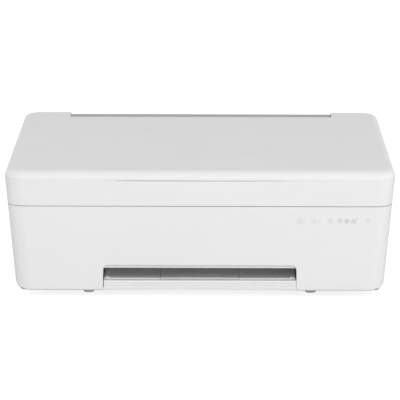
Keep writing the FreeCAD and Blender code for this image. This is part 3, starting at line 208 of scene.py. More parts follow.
def foam(name, colour):
    """Closed foam under a white film: small soft cells that show as dimples."""
    finish, tree, shader = new_finish(name)
    place = object_place(tree)
    dimples = cells(tree, place, 420.0, "SMOOTH_F1")
    slow = noise(tree, place, 14.0, 2.0)
    darker = tuple(c * 0.98 for c in colour)
    tree.links.new(blended(tree, spread(tree, slow, 0.0, 1.0), darker, colour), shader.inputs["Base Color"])
    tree.links.new(spread(tree, dimples, 0.85, 0.65, 0.0, 1.0), shader.inputs["Roughness"])
    shader.inputs["Sheen Weight"].default_value = 0.15
    bump(tree, shader, dimples, 0.3, 0.15 * MM)
    return finish


def window_glass(name):
    """Clear float glass, greenish in its depth, with a few faint wipe marks."""
    finish, tree, shader = new_finish(name)
    wiped = noise(tree, object_place(tree, (1.0, 0.15, 1.0)), 60.0, 4.0)
    edge_green = blended(tree, spread(tree, wiped, 0.0, 1.0), (0.90, 0.96, 0.94), (0.94, 0.98, 0.97))
    tree.links.new(edge_green, shader.inputs["Base Color"])
    tree.links.new(spread(tree, wiped, 0.0, 0.035, 0.45, 0.8), shader.inputs["Roughness"])
    shader.inputs["IOR"].default_value = 1.52
    shader.inputs["Transmission Weight"].default_value = 1.0
    return finish


def sheet_steel(name, colour, gloss):
    """Zinc-coated sheet: large soft spangles and fine rolling lines."""
    finish, tree, shader = new_finish(name)
    spangle = cells(tree, object_place(tree), 160.0)
    rolled = noise(tree, object_place(tree, (6.0, 260.0, 260.0)), 8.0, 4.0)
    darker = tuple(c * 0.82 for c in colour)
    tone = blended(tree, spread(tree, spangle, 0.0, 1.0, 0.0, 0.9), colour, darker)
    tree.links.new(tone, shader.inputs["Base Color"])
    tree.links.new(spread(tree, rolled, gloss - 0.08, gloss + 0.1), shader.inputs["Roughness"])
    shader.inputs["Metallic"].default_value = 1.0
    bump(tree, shader, rolled, 0.25, 0.01 * MM)
    return finish


def ground_steel(name, colour, gloss):
    """Ground rod: very fine rings round it and a thin film of oil."""
    finish, tree, shader = new_finish(name)
    rings = noise(tree, object_place(tree, (900.0, 12.0, 12.0)), 4.0, 3.0)
    film = noise(tree, object_place(tree), 40.0, 2.0)
    darker = tuple(c * 0.9 for c in colour)
    tree.links.new(blended(tree, spread(tree, film, 0.0, 1.0), darker, colour), shader.inputs["Base Color"])
    tree.links.new(spread(tree, rings, gloss - 0.05, gloss + 0.08), shader.inputs["Roughness"])
    shader.inputs["Metallic"].default_value = 1.0
    bump(tree, shader, rings, 0.2, 0.004 * MM)
    return finish


def rubber(name, colour, grain_mm=0.3):
    """Rubber: dull, with a pale bloom in patches and a fine rough face."""
    finish, tree, shader = new_finish(name)
    place = object_place(tree)
    bloom = noise(tree, place, 55.0, 4.0)
    fine = noise(tree, place, 1.0 / (grain_mm * MM), 4.0)
    paler = tuple(c * 1.25 + 0.012 for c in colour)
    tone = blended(tree, spread(tree, bloom, 0.0, 1.0, 0.4, 0.75), colour, paler)
    tree.links.new(tone, shader.inputs["Base Color"])
    tree.links.new(spread(tree, fine, 0.72, 0.92), shader.inputs["Roughness"])
    shader.inputs["Specular IOR Level"].default_value = 0.3
    bump(tree, shader, fine, 0.5, 0.05 * MM)
    return finish


def board(name, mask, track):
    """Circuit board: a green mask over fine tracks that run both ways."""
    finish, tree, shader = new_finish(name)
    place = object_place(tree)
    along = spread(tree, bands(tree, place, 190.0, "X"), 0.0, 1.0, 0.62, 0.72)
    across = spread(tree, bands(tree, place, 150.0, "Z"), 0.0, 1.0, 0.62, 0.72)
    region = noise(tree, place, 60.0, 1.0)
    here = combined(tree, along, spread(tree, region, 0.0, 1.0, 0.49, 0.51), "MULTIPLY")
    there = combined(tree, across, spread(tree, region, 1.0, 0.0, 0.49, 0.51), "MULTIPLY")
    copper = combined(tree, here, there)
    tree.links.new(blended(tree, copper, mask, track), shader.inputs["Base Color"])
    tree.links.new(spread(tree, region, 0.25, 0.4), shader.inputs["Roughness"])
    shader.inputs["Coat Weight"].default_value = 0.3
    bump(tree, shader, copper, 0.3, 0.03 * MM)
    return finish


def ruled_film(name, colour):
    """The clear strip that the carriage reads: fine dark rules across it."""
    finish, tree, shader = new_finish(name)
    rules = bands(tree, object_place(tree), 330.0, "X")
    dark = tuple(c * 0.35 for c in colour)
    tone = blended(tree, spread(tree, rules, 0.0, 1.0, 0.45, 0.55), dark, colour)
    tree.links.new(tone, shader.inputs["Base Color"])
    tree.links.new(spread(tree, rules, 0.12, 0.25, 0.0, 1.0), shader.inputs["Roughness"])
    shader.inputs["Transmission Weight"].default_value = 0.4
    return finish


def printed(name, colour):
    """A thin pad-printed mark, with a slightly uneven film of ink."""
    return moulded(name, colour, 0.06, 0.4, 0.2, 0.004)


SHELL = (0.87, 0.87, 0.872)
FINISHES = {
    "white_shell": moulded("white_shell", SHELL, 0.012, 0.42, 0.3, 0.012),
    "white_inner": moulded("white_inner", (0.80, 0.80, 0.80), 0.02, 0.55, 0.5, 0.02),
    # strip_grey is partly the hinge strip's own grey plastic and partly painted shade: its darkness stands in for the
    # shadow in the hinge trough behind the lid
    "strip_grey": moulded("strip_grey", (0.41, 0.41, 0.42), 0.03, 0.5, 0.4, 0.02),
    "floor_grey": moulded("floor_grey", (0.72, 0.72, 0.725), 0.03, 0.5, 0.45, 0.03),
    "symbol_grey": moulded("symbol_grey", (0.86, 0.86, 0.865), 0.01, 0.25, 0.3, 0.004),
    "dark_plastic": moulded("dark_plastic", (0.06, 0.06, 0.063), 0.08, 0.5, 0.5, 0.03),
    "mid_plastic": moulded("mid_plastic", (0.20, 0.20, 0.205), 0.06, 0.55, 0.5, 0.03),
    "pad_white": foam("pad_white", (0.85, 0.85, 0.84)),
    "clear_glass": window_glass("clear_glass"),
    "steel": sheet_steel("steel", (0.56, 0.56, 0.57), 0.36),
    "bright_steel": ground_steel("bright_steel", (0.68, 0.68, 0.69), 0.2),
    "rubber_black": rubber("rubber_black", (0.02, 0.02, 0.02)),
    "rubber_grey": rubber("rubber_grey", (0.10, 0.10, 0.105)),
    "foot_grey": rubber("foot_grey", (0.55, 0.55, 0.56)),
    "board_green": board("board_green", (0.008, 0.085, 0.035), (0.02, 0.17, 0.07)),
    "cartridge_black": moulded("cartridge_black", (0.03, 0.03, 0.03), 0.08, 0.45, 0.5, 0.02),
    "cartridge_colour": moulded("cartridge_colour", (0.22, 0.23, 0.26), 0.05, 0.45, 0.5, 0.02),
    "gear_natural": moulded("gear_natural", (0.70, 0.68, 0.60), 0.04, 0.4, 0.6, 0.01),
    "belt_black": rubber("belt_black", (0.015, 0.015, 0.015), 0.2),
    "strip_clear": ruled_film("strip_clear", (0.55, 0.56, 0.58)),
}
MARK_GREY = printed("mark_grey", (0.36, 0.36, 0.37))
MARK_PALE = printed("mark_pale", (0.62, 0.62, 0.63))
DIFFUSER = moulded("diffuser", (0.88, 0.88, 0.86), 0.01, 0.35, 0.3, 0.005)
CONTACT_GOLD = ground_steel("contact_gold", (0.83, 0.62, 0.25), 0.25)
CORK = rubber("cork", (0.36, 0.22, 0.12), 0.8)
INK_DOTS = (printed("dot_cyan", (0.02, 0.35, 0.62)), printed("dot_magenta", (0.62, 0.03, 0.25)),
            printed("dot_yellow", (0.80, 0.62, 0.03)))


# Pieces

def box_of(node_name):
    low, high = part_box(node_name)
    return Vector(low), Vector(high)


def keep_piece(mesh, name, body, slot_name, finish=None, replaced=()):
    """Turns a mesh into a piece that moves with a body."""
    piece = bpy.data.objects.new(name, mesh)
    bpy.context.scene.collection.objects.link(piece)
    mesh.materials.clear()
    mesh.materials.append(finish or FINISHES[slot_name])
    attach(piece, body)
    if replaced:
        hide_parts(*replaced)
    return piece


def held(mesh, name="holder"):
    holder = bpy.data.objects.new(name, mesh)
    bpy.context.scene.collection.objects.link(holder)
    return holder


def plain_mesh(holder):
    """The holder's mesh with its modifiers carried out; the holder goes."""
    graph = bpy.context.evaluated_depsgraph_get()
    mesh = bpy.data.meshes.new_from_object(holder.evaluated_get(graph))
    bpy.data.objects.remove(holder)
    return mesh


def shaded(mesh):
    """Smooth over rounds, crisp at creases, with the flat faces kept flat."""
    old_normals = mesh.attributes.get("custom_normal")
    if old_normals:
        mesh.attributes.remove(old_normals)
    mesh.shade_smooth()
    mesh.set_sharp_from_angle(angle=CREASE)
    holder = held(mesh)
    weighted = holder.modifiers.new("weighted", "WEIGHTED_NORMAL")
    weighted.keep_sharp = True
    return plain_mesh(holder)


def mesh_of(shape, name):
    bmesh.ops.recalc_face_normals(shape, faces=shape.faces)
    mesh = bpy.data.meshes.new(name)
    shape.to_mesh(mesh)
    shape.free()
    return mesh


def without(mesh, cutter_mesh, crossed=False):
    """The mesh with the cutter's room taken out of it; a cutter of crossed blocks says so."""
    piece = held(mesh)
    cutter = held(cutter_mesh, "cutter")
    cut = piece.modifiers.new("cut", "BOOLEAN")
    cut.object = cutter
    cut.operation = "DIFFERENCE"
    cut.solver = "EXACT"
    cut.use_self = crossed
    result = plain_mesh(piece)
    bpy.data.objects.remove(cutter)
    return result


def finger_groove():
    """The narrow undercut below the lip of the lid's finger grip, which runs out at its two ends."""
    steps = 48
    shape = bmesh.new()
    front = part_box("lid_cover")[0][1]
    outline = [(GRIP_HALF, front - 3.0 * MM), (-GRIP_HALF, front - 3.0 * MM)]
    for i in range(steps + 1):
        share = 2 * i / steps - 1
        outline.append((share * GRIP_HALF, front + GRIP_DEEP * (1 - abs(share) ** GROOVE_TAPER)))
    shape.faces.new([shape.verts.new((x, y, GRIP_LIP_Z - GROOVE_HIGH)) for x, y in outline])
    raised = bmesh.ops.extrude_face_region(shape, geom=shape.faces[:])["geom"]
    for point in raised:
        if isinstance(point, bmesh.types.BMVert):
            point.co.z = GRIP_LIP_Z
    return mesh_of(shape, "finger_groove")


def node_shape(node_name):
    """A copy of a node's shape, its loose triangles merged."""
    shape = bmesh.new()
    shape.from_mesh(frame["nodes"][node_name].data)
    bmesh.ops.remove_doubles(shape, verts=shape.verts, dist=MERGE)
    return shape


def grooved_lid():
    """The lid's shape with the undercut of its finger grip."""
    mesh = without(mesh_of(node_shape("lid_cover"), "lid"), finger_groove())
    shape = bmesh.new()
    shape.from_mesh(mesh)
    bmesh.ops.remove_doubles(shape, verts=shape.verts, dist=MERGE)
    return shape


def soften_node(node_name):
    """The node again, with a small round on its sharp edges."""
    shape = grooved_lid() if node_name == "lid_cover" else node_shape(node_name)
    bmesh.ops.dissolve_limit(shape, angle_limit=FLAT, verts=shape.verts, edges=shape.edges)
    edges = [edge for edge in shape.edges if len(edge.link_faces) == 2 and edge.calc_face_angle() > SHARP]
    bmesh.ops.bevel(shape, geom=edges, offset=EDGE_ROUND[node_name] * MM, offset_type="OFFSET", segments=2,
                    profile=0.5, affect="EDGES", clamp_overlap=False)
    low, high = box_of(node_name)
    for point in shape.verts:
        point.co = Vector([min(max(value, least), most) for value, least, most in zip(point.co, low, high)])
    name = node_name + "_soft"
    mesh = bpy.data.meshes.new(name)
    shape.to_mesh(mesh)
    shape.free()
    keep_piece(shaded(mesh), name, BODY_OF[node_name], SLOT_OF[node_name], None, [node_name])


def add_slab(shape, low, high):
    """A block between two corners."""
    made = bmesh.ops.create_cube(shape, size=1.0)["verts"]
    middle = (Vector(low) + Vector(high)) / 2
    size = Vector(high) - Vector(low)
    for point in made:
        point.co = Vector([a * b for a, b in zip(point.co, size)]) + middle


def rounded_slab(low, high, edge):
    """A block with all its edges rounded."""
    shape = bmesh.new()
    add_slab(shape, low, high)
    bmesh.ops.bevel(shape, geom=shape.edges[:], offset=edge, offset_type="OFFSET", segments=2, profile=0.5,
                    affect="EDGES", clamp_overlap=True)
    return mesh_of(shape, "slab")


def pin_mesh(radius, length, sides, tip):
    """A pin along +Z from the origin with a rounded end."""
    shape = bmesh.new()
    bmesh.ops.create_cone(shape, cap_ends=True, segments=sides, radius1=radius, radius2=radius, depth=length)
    bmesh.ops.translate(shape, verts=shape.verts[:], vec=(0, 0, length / 2))
    rim = [edge for edge in shape.edges if min(point.co.z for point in edge.verts) > length * 0.99]
    bmesh.ops.bevel(shape, geom=rim, offset=tip, offset_type="OFFSET", segments=2, profile=0.5, affect="EDGES")
    return mesh_of(shape, "pin")


def screw_mesh(radius, height):
    """A flat screw head along +Z with a cross recess."""
    shape = bmesh.new()
    arm, half = radius * 0.62, radius * 0.13
    add_slab(shape, (-arm, -half, height * 0.45), (arm, half, height * 2))
    add_slab(shape, (-half, -arm, height * 0.45), (half, arm, height * 2))
    return without(pin_mesh(radius, height, 28, radius * 0.18), mesh_of(shape, "cross"), True)


def placed(mesh, turn, shift=(0, 0, 0)):
    mesh.transform(Matrix.Translation(shift) @ turn.to_4x4())
    return mesh


# Repeated shapes: one tree lays copies of a mesh in rows

def rows_tree():
    tree = bpy.data.node_groups.new("laid_in_rows", "GeometryNodeTree")
    sockets = (("Shape", "Geometry"), ("Start", "Vector"), ("Step", "Vector"), ("Count", "Int"),
               ("Row step", "Vector"), ("Rows", "Int"), ("Finish", "Material"))
    for name, kind in sockets:
        tree.interface.new_socket(name, in_out="INPUT", socket_type="NodeSocket" + kind)
    tree.interface.new_socket("Geometry", in_out="OUTPUT", socket_type="NodeSocketGeometry")
    link = tree.links.new
    given = tree.nodes.new("NodeGroupInput").outputs
    row = tree.nodes.new("GeometryNodeMeshLine")
    link(given["Start"], row.inputs["Start Location"])
    link(given["Step"], row.inputs["Offset"])
    link(given["Count"], row.inputs["Count"])
    rows = tree.nodes.new("GeometryNodeMeshLine")
    link(given["Row step"], rows.inputs["Offset"])
    link(given["Rows"], rows.inputs["Count"])
    spots = tree.nodes.new("GeometryNodeInstanceOnPoints")
    link(rows.outputs["Mesh"], spots.inputs["Points"])
    link(row.outputs["Mesh"], spots.inputs["Instance"])
    all_spots = tree.nodes.new("GeometryNodeRealizeInstances")
    link(spots.outputs["Instances"], all_spots.inputs["Geometry"])
    copies = tree.nodes.new("GeometryNodeInstanceOnPoints")
    link(all_spots.outputs["Geometry"], copies.inputs["Points"])
    link(given["Shape"], copies.inputs["Instance"])
    real = tree.nodes.new("GeometryNodeRealizeInstances")
    link(copies.outputs["Instances"], real.inputs["Geometry"])
    coloured = tree.nodes.new("GeometryNodeSetMaterial")
    link(real.outputs["Geometry"], coloured.inputs["Geometry"])
    link(given["Finish"], coloured.inputs["Material"])
    link(coloured.outputs["Geometry"], tree.nodes.new("NodeGroupOutput").inputs["Geometry"])
    return tree


ROWS = rows_tree()
ROW_SOCKETS = {item.name: item.identifier for item in ROWS.interface.items_tree if item.in_out == "INPUT"}


def lay_rows(mesh, name, body, slot_name, start, step, count, row_step=(0, 0, 0), rows=1, finish=None):
    """Copies of a mesh in rows, as one plain piece."""
    holder = held(mesh)
    modifier = holder.modifiers.new("rows", "NODES")
    modifier.node_group = ROWS
    chosen = finish or FINISHES[slot_name]
    values = {"Start": Vector(start), "Step": Vector(step), "Count": count, "Row step": Vector(row_step),
              "Rows": rows, "Finish": chosen}
    for socket_name, value in values.items():
        modifier[ROW_SOCKETS[socket_name]] = value
    return keep_piece(shaded(plain_mesh(holder)), name, body, slot_name, chosen)


# Touch symbols on the front: generic signs, a little raised on their lenses

FACE_LEAN = math.tan(math.radians(1.5))
THIN_STROKE = 0.24 * MM
BOLD_STROKE = 0.40 * MM
STROKE_PROUD = 0.08 * MM


def arc(radius, start, end, cx=0.0, cy=0.0, steps=16):
    turns = [math.radians(start + (end - start) * i / steps) for i in range(steps + 1)]
    return [(cx + radius * math.cos(turn), cy + radius * math.sin(turn)) for turn in turns]


def ring(radius, cx=0.0, cy=0.0):
    return arc(radius, 0.0, 360.0, cx, cy, 28)


def sheet(half_wide, half_high, cx=0.0, cy=0.0):
    corners = ((-1, -1), (1, -1), (1, 1), (-1, 1), (-1, -1))
    return [(cx + side * half_wide, cy + end * half_high) for side, end in corners]


# Each sign has thin lines and bold ones, in millimetres from the middle of its lens
DROP = arc(1.25, -215.0, 35.0, 0.0, -0.7) + [(0.0, 2.0), (-1.02, 0.02)]
COPY_SIGN = ([sheet(1.2, 1.6, -0.6, -0.3), [(-0.3, 1.7), (-0.3, 2.1), (2.0, 2.1), (2.0, -1.1), (1.0, -1.1)]], [])
DROP_SIGN = ([DROP, [(5.5, -1.7), (5.5, 1.3)]], [ring(0.3, 0.0, -0.7)])
PAPER_SIGN = ([sheet(1.4, 1.9), [(-0.7, 0.7), (0.7, 0.7)], [(-0.7, -0.3), (0.7, -0.3)]], [])
WAVES_SIGN = ([arc(3.6, 48.0, 132.0, 0.0, -1.5)], [arc(2.1, 50.0, 130.0, 0.0, -1.5), ring(0.4, 0.0, -1.1)])
STOP_SIGN = ([ring(2.2)], [[(-0.8, -0.8), (0.8, 0.8)], [(-0.8, 0.8), (0.8, -0.8)]])
START_SIGN = ([ring(2.2), ring(0.4, 4.3, 3.4)], [[(-0.5, -0.8), (-0.5, 0.8), (0.8, 0.0), (-0.5, -0.8)]])
LAMP_SIGN = ([ring(1.5)], [])
SIGNS = (COPY_SIGN, DROP_SIGN, PAPER_SIGN, WAVES_SIGN, STOP_SIGN, START_SIGN, LAMP_SIGN)
CLEAR_SIGNS = (3, 4, 5)


def lens_centres():
    """The middle of each lens, from left to right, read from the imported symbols."""
    shape = node_shape("touch_icons")
    left = set(shape.verts)
    centres = []
    while left:
        group, next_points = [], [left.pop()]
        while next_points:
            point = next_points.pop()
            group.append(point)
            for edge in point.link_edges:
                other = edge.other_vert(point)
                if other in left:
                    left.discard(other)
                    next_points.append(other)
        xs = [point.co.x for point in group]
        zs = [point.co.z for point in group]
        centres.append(((min(xs) + max(xs)) / 2, (min(zs) + max(zs)) / 2))
    shape.free()
    return sorted(centres)


def front_y(z):
    low, high = box_of("touch_icons")
    return low.y + (high.z - z) * FACE_LEAN


def stroke_mesh(signs, weight, stroke):
    """Raised strokes of one weight for the given signs: pairs of a lens centre and its lines."""
    curve = bpy.data.curves.new("strokes", "CURVE")
    curve.dimensions = "3D"
    curve.bevel_depth = stroke
    curve.bevel_resolution = 2
    for (x0, z0), lines in signs:
        for line in lines[weight]:
            spline = curve.splines.new("POLY")
            spline.points.add(len(line) - 1)
            for point, (dx, dz) in zip(spline.points, line):
                z = z0 + dz * MM
                point.co = (x0 + dx * MM, front_y(z) + stroke - STROKE_PROUD, z, 1.0)
    return plain_mesh(held(curve, "strokes"))


def add_signs():
    centres = lens_centres()
    clear = [(centres[i], SIGNS[i]) for i in CLEAR_SIGNS]
    pale = [(centres[i], SIGNS[i]) for i in range(len(SIGNS)) if i not in CLEAR_SIGNS]
    for name, signs, finish in (("clear", clear, MARK_GREY), ("pale", pale, MARK_PALE)):
        for weight, stroke in enumerate((THIN_STROKE, BOLD_STROKE)):
            mesh = stroke_mesh(signs, weight, stroke)
            keep_piece(mesh, "%s_signs_%d" % (name, weight + 1), "lower_body", "symbol_grey", finish)


# Lid pad

PAD_CORNER = 5.0 * MM
PAD_LIP = 4.0 * MM
PAD_PRESS = 0.55


def pad_point(u, v, low, high):
    """A point of the pad's lower face: u and v run from -1 to 1 and crowd towards the edges."""
    middle = (low + high) / 2
    half = (high - low) / 2
    x = math.sin(math.pi / 2 * u) * half.x
    y = math.sin(math.pi / 2 * v) * half.y
    over_x = max(abs(x) - half.x + PAD_CORNER, 0.0)
    over_y = max(abs(y) - half.y + PAD_CORNER, 0.0)
    far = math.hypot(over_x, over_y)
    if min(over_x, over_y) > 0.0 and far > PAD_CORNER:
        x = math.copysign(half.x - PAD_CORNER + over_x * PAD_CORNER / far, x)
        y = math.copysign(half.y - PAD_CORNER + over_y * PAD_CORNER / far, y)
        inside = 0.0
    elif min(over_x, over_y) > 0.0:
        inside = PAD_CORNER - far
    else:
        inside = min(half.x - abs(x), half.y - abs(y))
    pressed = 1.0 - min(max(inside, 0.0) / PAD_LIP, 1.0)
    return Vector((middle.x + x, middle.y + y, low.z + (high.z - low.z) * PAD_PRESS * pressed ** 2.2))


def add_pad():
    """The foam pad under the lid: full in the middle, with soft pressed edges and rounded corners."""
    low, high = box_of("backing_pad")
    across, along = 72, 56
    shape = bmesh.new()
    grid = [[shape.verts.new(pad_point(2 * i / across - 1, 2 * j / along - 1, low, high)) for i in range(across + 1)]
            for j in range(along + 1)]
    for j in range(along):
        for i in range(across):
            shape.faces.new((grid[j][i], grid[j][i + 1], grid[j + 1][i + 1], grid[j + 1][i]))
    rim = [edge for edge in shape.edges if len(edge.link_faces) == 1]
    raised = bmesh.ops.extrude_edge_only(shape, edges=rim)["geom"]
    for point in raised:
        if isinstance(point, bmesh.types.BMVert):
            point.co.z = high.z
    bmesh.ops.contextual_create(shape, geom=[edge for edge in shape.edges if len(edge.link_faces) == 1])
    pad = keep_piece(shaded(mesh_of(shape, "lid_pad")), "lid_pad", "lid", "pad_white", None, ["backing_pad"])


# Scanner details

def add_glass_tape():
    """Black tape under the edges of the glass."""
    low, high = box_of("scanner_glass")
    band, thick = 2.5 * MM, 0.25 * MM
    inner_x = (low.x + band, high.x - band)
    shape = bmesh.new()
    add_slab(shape, (low.x, low.y, low.z - thick), (inner_x[0], high.y, low.z))
    add_slab(shape, (inner_x[1], low.y, low.z - thick), (high.x, high.y, low.z))
    add_slab(shape, (inner_x[0], low.y, low.z - thick), (inner_x[1], low.y + band, low.z))
    add_slab(shape, (inner_x[0], high.y - band, low.z - thick), (inner_x[1], high.y, low.z))
    keep_piece(mesh_of(shape, "glass_tape"), "glass_tape", "scanner_unit", "rubber_black")


def add_bezel_marks():
    """A raised arrow at the corner where a sheet is laid, and a row of size ticks along the front edge."""
    low, high = box_of("scanner_glass")
    tick = rounded_slab((-0.15 * MM, 0, 0), (0.15 * MM, 2.6 * MM, 0.08 * MM), 0.04 * MM)
    lay_rows(tick, "size_ticks", "scanner_unit", "strip_grey", (low.x + 6 * MM, low.y - 4.0 * MM, high.z),
             (0.01, 0, 0), int((high.x - low.x) / 0.01), finish=MARK_GREY)
    corner = Vector((low.x - 3.0 * MM, low.y - 3.0 * MM, high.z - 0.1 * MM))
    shape = bmesh.new()
    shape.faces.new([shape.verts.new(corner + Vector((dx, dy, 0)) * MM) for dx, dy in ((0, 0), (-5, -1.6), (-1.6, -5))])
    raised = bmesh.ops.extrude_face_region(shape, geom=shape.faces[:])["geom"]
    for point in raised:
        if isinstance(point, bmesh.types.BMVert):
            point.co.z += 0.2 * MM
    keep_piece(mesh_of(shape, "corner_mark"), "corner_mark", "scanner_unit", "strip_grey", MARK_GREY)


def add_scan_optics():
    """The light bar and the two staggered rows of small lenses in the scan head."""
    low, high = box_of("scan_head")
    centre = (low.x + high.x) / 2
    y0, y1 = low.y + 7.5 * MM, high.y - 11.5 * MM
    lamp = rounded_slab((centre - 2.9 * MM, y0, high.z - 2.4 * MM), (centre + 2.9 * MM, y1, high.z - 0.5 * MM), 0.6 * MM)
    keep_piece(shaded(lamp), "light_bar", "scan_head", "white_inner", DIFFUSER)
    pitch = 1.3 * MM
    lens = pin_mesh(0.45 * MM, 1.2 * MM, 8, 0.1 * MM)
    start = (centre - 10.0 * MM, y0 + 1.0 * MM, high.z - 2.4 * MM)
    lay_rows(lens, "lens_row", "scan_head", "clear_glass", start, (0, pitch, 0), int((y1 - y0) / pitch) - 1,
             (pitch, pitch / 2, 0), 2)


# Screws, ribs, teeth and contacts

BACKWARD = Matrix.Rotation(math.radians(-90.0), 3, "X")


def add_screws():
    low, high = box_of("inner_deck")
    start = (-0.187, low.y + 0.030, high.z - 0.15 * MM)
    lay_rows(screw_mesh(3.2 * MM, 1.4 * MM), "deck_screws", "lower_body", "bright_steel", start, (0.374, 0, 0), 2,
             (0, 0.125, 0), 2)
    low, high = box_of("rear_panel")
    z = 0.022
    start = (-0.185, high.y - (high.z - z) * FACE_LEAN - 0.15 * MM, z)
    lay_rows(placed(screw_mesh(3.2 * MM, 1.2 * MM), BACKWARD), "rear_screws", "lower_body", "bright_steel", start,
             (0.1233, 0, 0), 4)
    low, high = box_of("chassis_beam")
    start = (-0.15, high.y - 6.0 * MM, high.z - 0.1 * MM)
    lay_rows(pin_mesh(2.0 * MM, 1.0 * MM, 20, 0.8 * MM), "beam_rivets", "lower_body", "bright_steel", start,
             (0.05, 0, 0), 7)


def add_deck_ribs():
    low, high = box_of("inner_deck")
    rib = rounded_slab((-0.6 * MM, 0, -0.3 * MM), (0.6 * MM, 0.155, 1.2 * MM), 0.35 * MM)
    lay_rows(rib, "deck_ribs", "lower_body", SLOT_OF["inner_deck"], (-0.17, low.y + 0.012, high.z), (0.034, 0, 0), 11)


BELT_THICK = 1.0 * MM
TOOTH_PITCH = 2.032 * MM
TOOTH_DEEP = 0.28 * MM


def add_belt_teeth():
    """Teeth on the inner face of both straight runs of the toothed belt."""
    low, high = box_of("drive_belt")
    middle = (low + high) / 2
    inner = (high.z - low.z) / 2 - BELT_THICK
    shape = bmesh.new()
    for side in (-1, 1):
        z0, z1 = sorted((side * (inner + 0.1 * MM), side * (inner - TOOTH_DEEP)))
        add_slab(shape, (-0.5 * MM, -2.4 * MM, z0), (0.5 * MM, 2.4 * MM, z1))
    count = int(2 * (high.x - inner - BELT_THICK) / TOOTH_PITCH)
    start = (-TOOTH_PITCH * (count - 1) / 2, middle.y, middle.z)
    lay_rows(mesh_of(shape, "tooth"), "belt_teeth", "lower_body", "belt_black", start, (TOOTH_PITCH, 0, 0), count)


def add_cartridge_details():
    """Grip ribs and ink colour dots on the two cartridges."""
    for node_name, dots in (("black_cartridge", (FINISHES["strip_grey"],)), ("colour_cartridge", INK_DOTS)):
        low, high = box_of(node_name)
        centre = (low.x + high.x) / 2
        rib = rounded_slab((-8.0 * MM, -0.35 * MM, -0.2 * MM), (8.0 * MM, 0.35 * MM, 0.5 * MM), 0.2 * MM)
        lay_rows(rib, node_name + "_ribs", "carriage", SLOT_OF[node_name], (centre, low.y + 15.0 * MM, high.z),
                 (0, 2.0 * MM, 0), 7)
        for i, finish in enumerate(dots):
            x = centre + (i - (len(dots) - 1) / 2) * 7.0 * MM
            dot = placed(pin_mesh(2.4 * MM, 0.5 * MM, 28, 0.2 * MM), Matrix.Identity(3),
                         (x, high.y - 26.0 * MM, high.z - 0.2 * MM))
            keep_piece(shaded(dot), "%s_dot_%d" % (node_name, i + 1), "carriage", SLOT_OF[node_name], finish)


def add_contacts():
    """Metal pins in the power inlet and gilt strips in the data socket."""
    low, high = box_of("power_inlet")
    start = ((low.x + high.x) / 2 - 4.3 * MM, high.y - 11.2 * MM, (low.z + high.z) / 2)
    pin = placed(pin_mesh(1.25 * MM, 5.6 * MM, 20, 0.5 * MM), BACKWARD)
    lay_rows(pin, "inlet_pins", "lower_body", "bright_steel", start, (8.6 * MM, 0, 0), 2)
    low, high = box_of("usb_socket")
    start = ((low.x + high.x) / 2 - 1.5 * MM, low.y + 2.5 * MM, (low.z + high.z) / 2 + 2.6 * MM)
    strip = rounded_slab((-0.4 * MM, 0, -0.1 * MM), (0.4 * MM, 4.0 * MM, 0.1 * MM), 0.05 * MM)
    lay_rows(strip, "data_contacts", "lower_body", "bright_steel", start, (1.0 * MM, 0, 0), 4, finish=CONTACT_GOLD)


def add_drawer_details():
    """The cork friction pad under the pick roller and a row of size ticks on the drawer's floor."""
    low, high = box_of("drawer_base")
    floor_z = box_of("guide_pinion")[1].z + 0.2 * MM
    pad = rounded_slab((-0.017, high.y - 0.030, floor_z - 0.1 * MM), (0.017, high.y - 0.012, floor_z + 0.28 * MM),
                       0.12 * MM)
    keep_piece(shaded(pad), "friction_pad", "drawer", "rubber_grey", CORK)
    tick = rounded_slab((-0.2 * MM, 0, 0), (0.2 * MM, 3.0 * MM, 0.1 * MM), 0.05 * MM)
    lay_rows(tick, "drawer_ticks", "drawer", "strip_grey", (-0.09, 0.033, floor_z), (0.01, 0, 0), 19, finish=MARK_PALE)


def dress_nodes():
    """Every node of the frame takes the finish of the slot that the record names for it."""
    for node_name, slot_name in SLOT_OF.items():
        node = frame["nodes"][node_name]
        for slot in node.material_slots:
            slot.material = FINISHES[slot_name]


# Camera, light and floor

def add_camera():
    camera = bpy.data.objects.new("camera", bpy.data.cameras.new("camera"))
    bpy.context.scene.collection.objects.link(camera)
    rise, yaw = CAMERA_RISE, CAMERA_YAW
    back = Vector((math.sin(yaw) * math.cos(rise), -math.cos(yaw) * math.cos(rise), math.sin(rise)))
    camera.location = AIM + back * CAMERA_AWAY
    turn = (-back).to_track_quat("-Z", "Y").to_matrix() @ Matrix.Rotation(CAMERA_ROLL, 3, "Z")
    camera.rotation_euler = turn.to_euler()
    camera.data.sensor_width = SENSOR
    camera.data.lens = FOCUS_PIXELS * SENSOR / IMAGE_WIDTH
    camera.data.shift_x = (IMAGE_WIDTH / 2 - CENTRE_U) / IMAGE_WIDTH
    camera.data.shift_y = (CENTRE_V - IMAGE_WIDTH / 2) / IMAGE_WIDTH
    camera.data.clip_end = 50.0
    bpy.context.scene.camera = camera


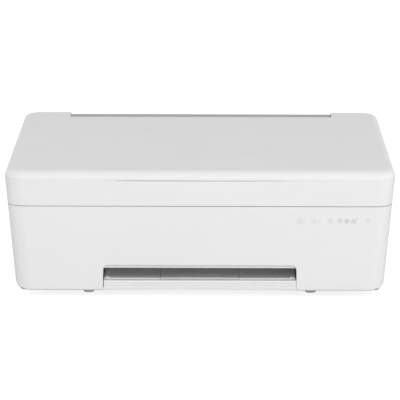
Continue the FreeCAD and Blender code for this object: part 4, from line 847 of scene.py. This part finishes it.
def add_lamp(name, place, size, watts):
    lamp = bpy.data.lights.new(name, "AREA")
    lamp.shape = "RECTANGLE"
    lamp.size, lamp.size_y = size
    lamp.energy = watts
    holder = held(lamp, name)
    holder.location = place
    holder.rotation_euler = (AIM - Vector(place)).to_track_quat("-Z", "Y").to_euler()


def add_world():
    """A plain pale surround: it lights softly, and the camera, gloss and glass see white."""
    world = bpy.data.worlds.new("surround")
    bpy.context.scene.world = world
    world.use_nodes = True
    tree = world.node_tree
    back = tree.nodes["Background"]
    back.inputs["Color"].default_value = (1.0, 1.0, 1.0, 1.0)
    path = tree.nodes.new("ShaderNodeLightPath").outputs
    seen = combined(tree, path["Is Camera Ray"], path["Is Glossy Ray"], "MAXIMUM")
    clear = combined(tree, seen, path["Is Transmission Ray"], "MAXIMUM")
    tree.links.new(spread(tree, clear, SURROUND, 1.0, 0.0, 1.0), back.inputs["Strength"])


def add_floor():
    """A white floor; its own faint light keeps it white to the camera and the object's shadow stays on it."""
    shape = bmesh.new()
    bmesh.ops.create_grid(shape, x_segments=1, y_segments=1, size=8.0)
    mesh = bpy.data.meshes.new("floor")
    shape.to_mesh(mesh)
    shape.free()
    finish, tree, shader = new_finish("floor_white")
    shader.inputs["Base Color"].default_value = (FLOOR_TONE, FLOOR_TONE, FLOOR_TONE, 1.0)
    shader.inputs["Roughness"].default_value = 0.9
    shader.inputs["Specular IOR Level"].default_value = 0.0
    shader.inputs["Emission Color"].default_value = (1.0, 1.0, 1.0, 1.0)
    seen = tree.nodes.new("ShaderNodeLightPath").outputs["Is Camera Ray"]
    tree.links.new(spread(tree, seen, 0.0, FLOOR_GLOW, 0.0, 1.0), shader.inputs["Emission Strength"])
    mesh.materials.append(finish)
    held(mesh, "floor")


dress_nodes()
for softened_node in EDGE_ROUND:
    soften_node(softened_node)
add_signs()
add_pad()
add_glass_tape()
add_bezel_marks()
add_scan_optics()
add_screws()
add_deck_ribs()
add_belt_teeth()
add_cartridge_details()
add_contacts()
add_drawer_details()
add_camera()
add_world()
for lamp_name, lamp_facts in LAMPS.items():
    add_lamp(lamp_name, **lamp_facts)
add_floor()

view = bpy.context.scene.view_settings
view.view_transform = "Standard"
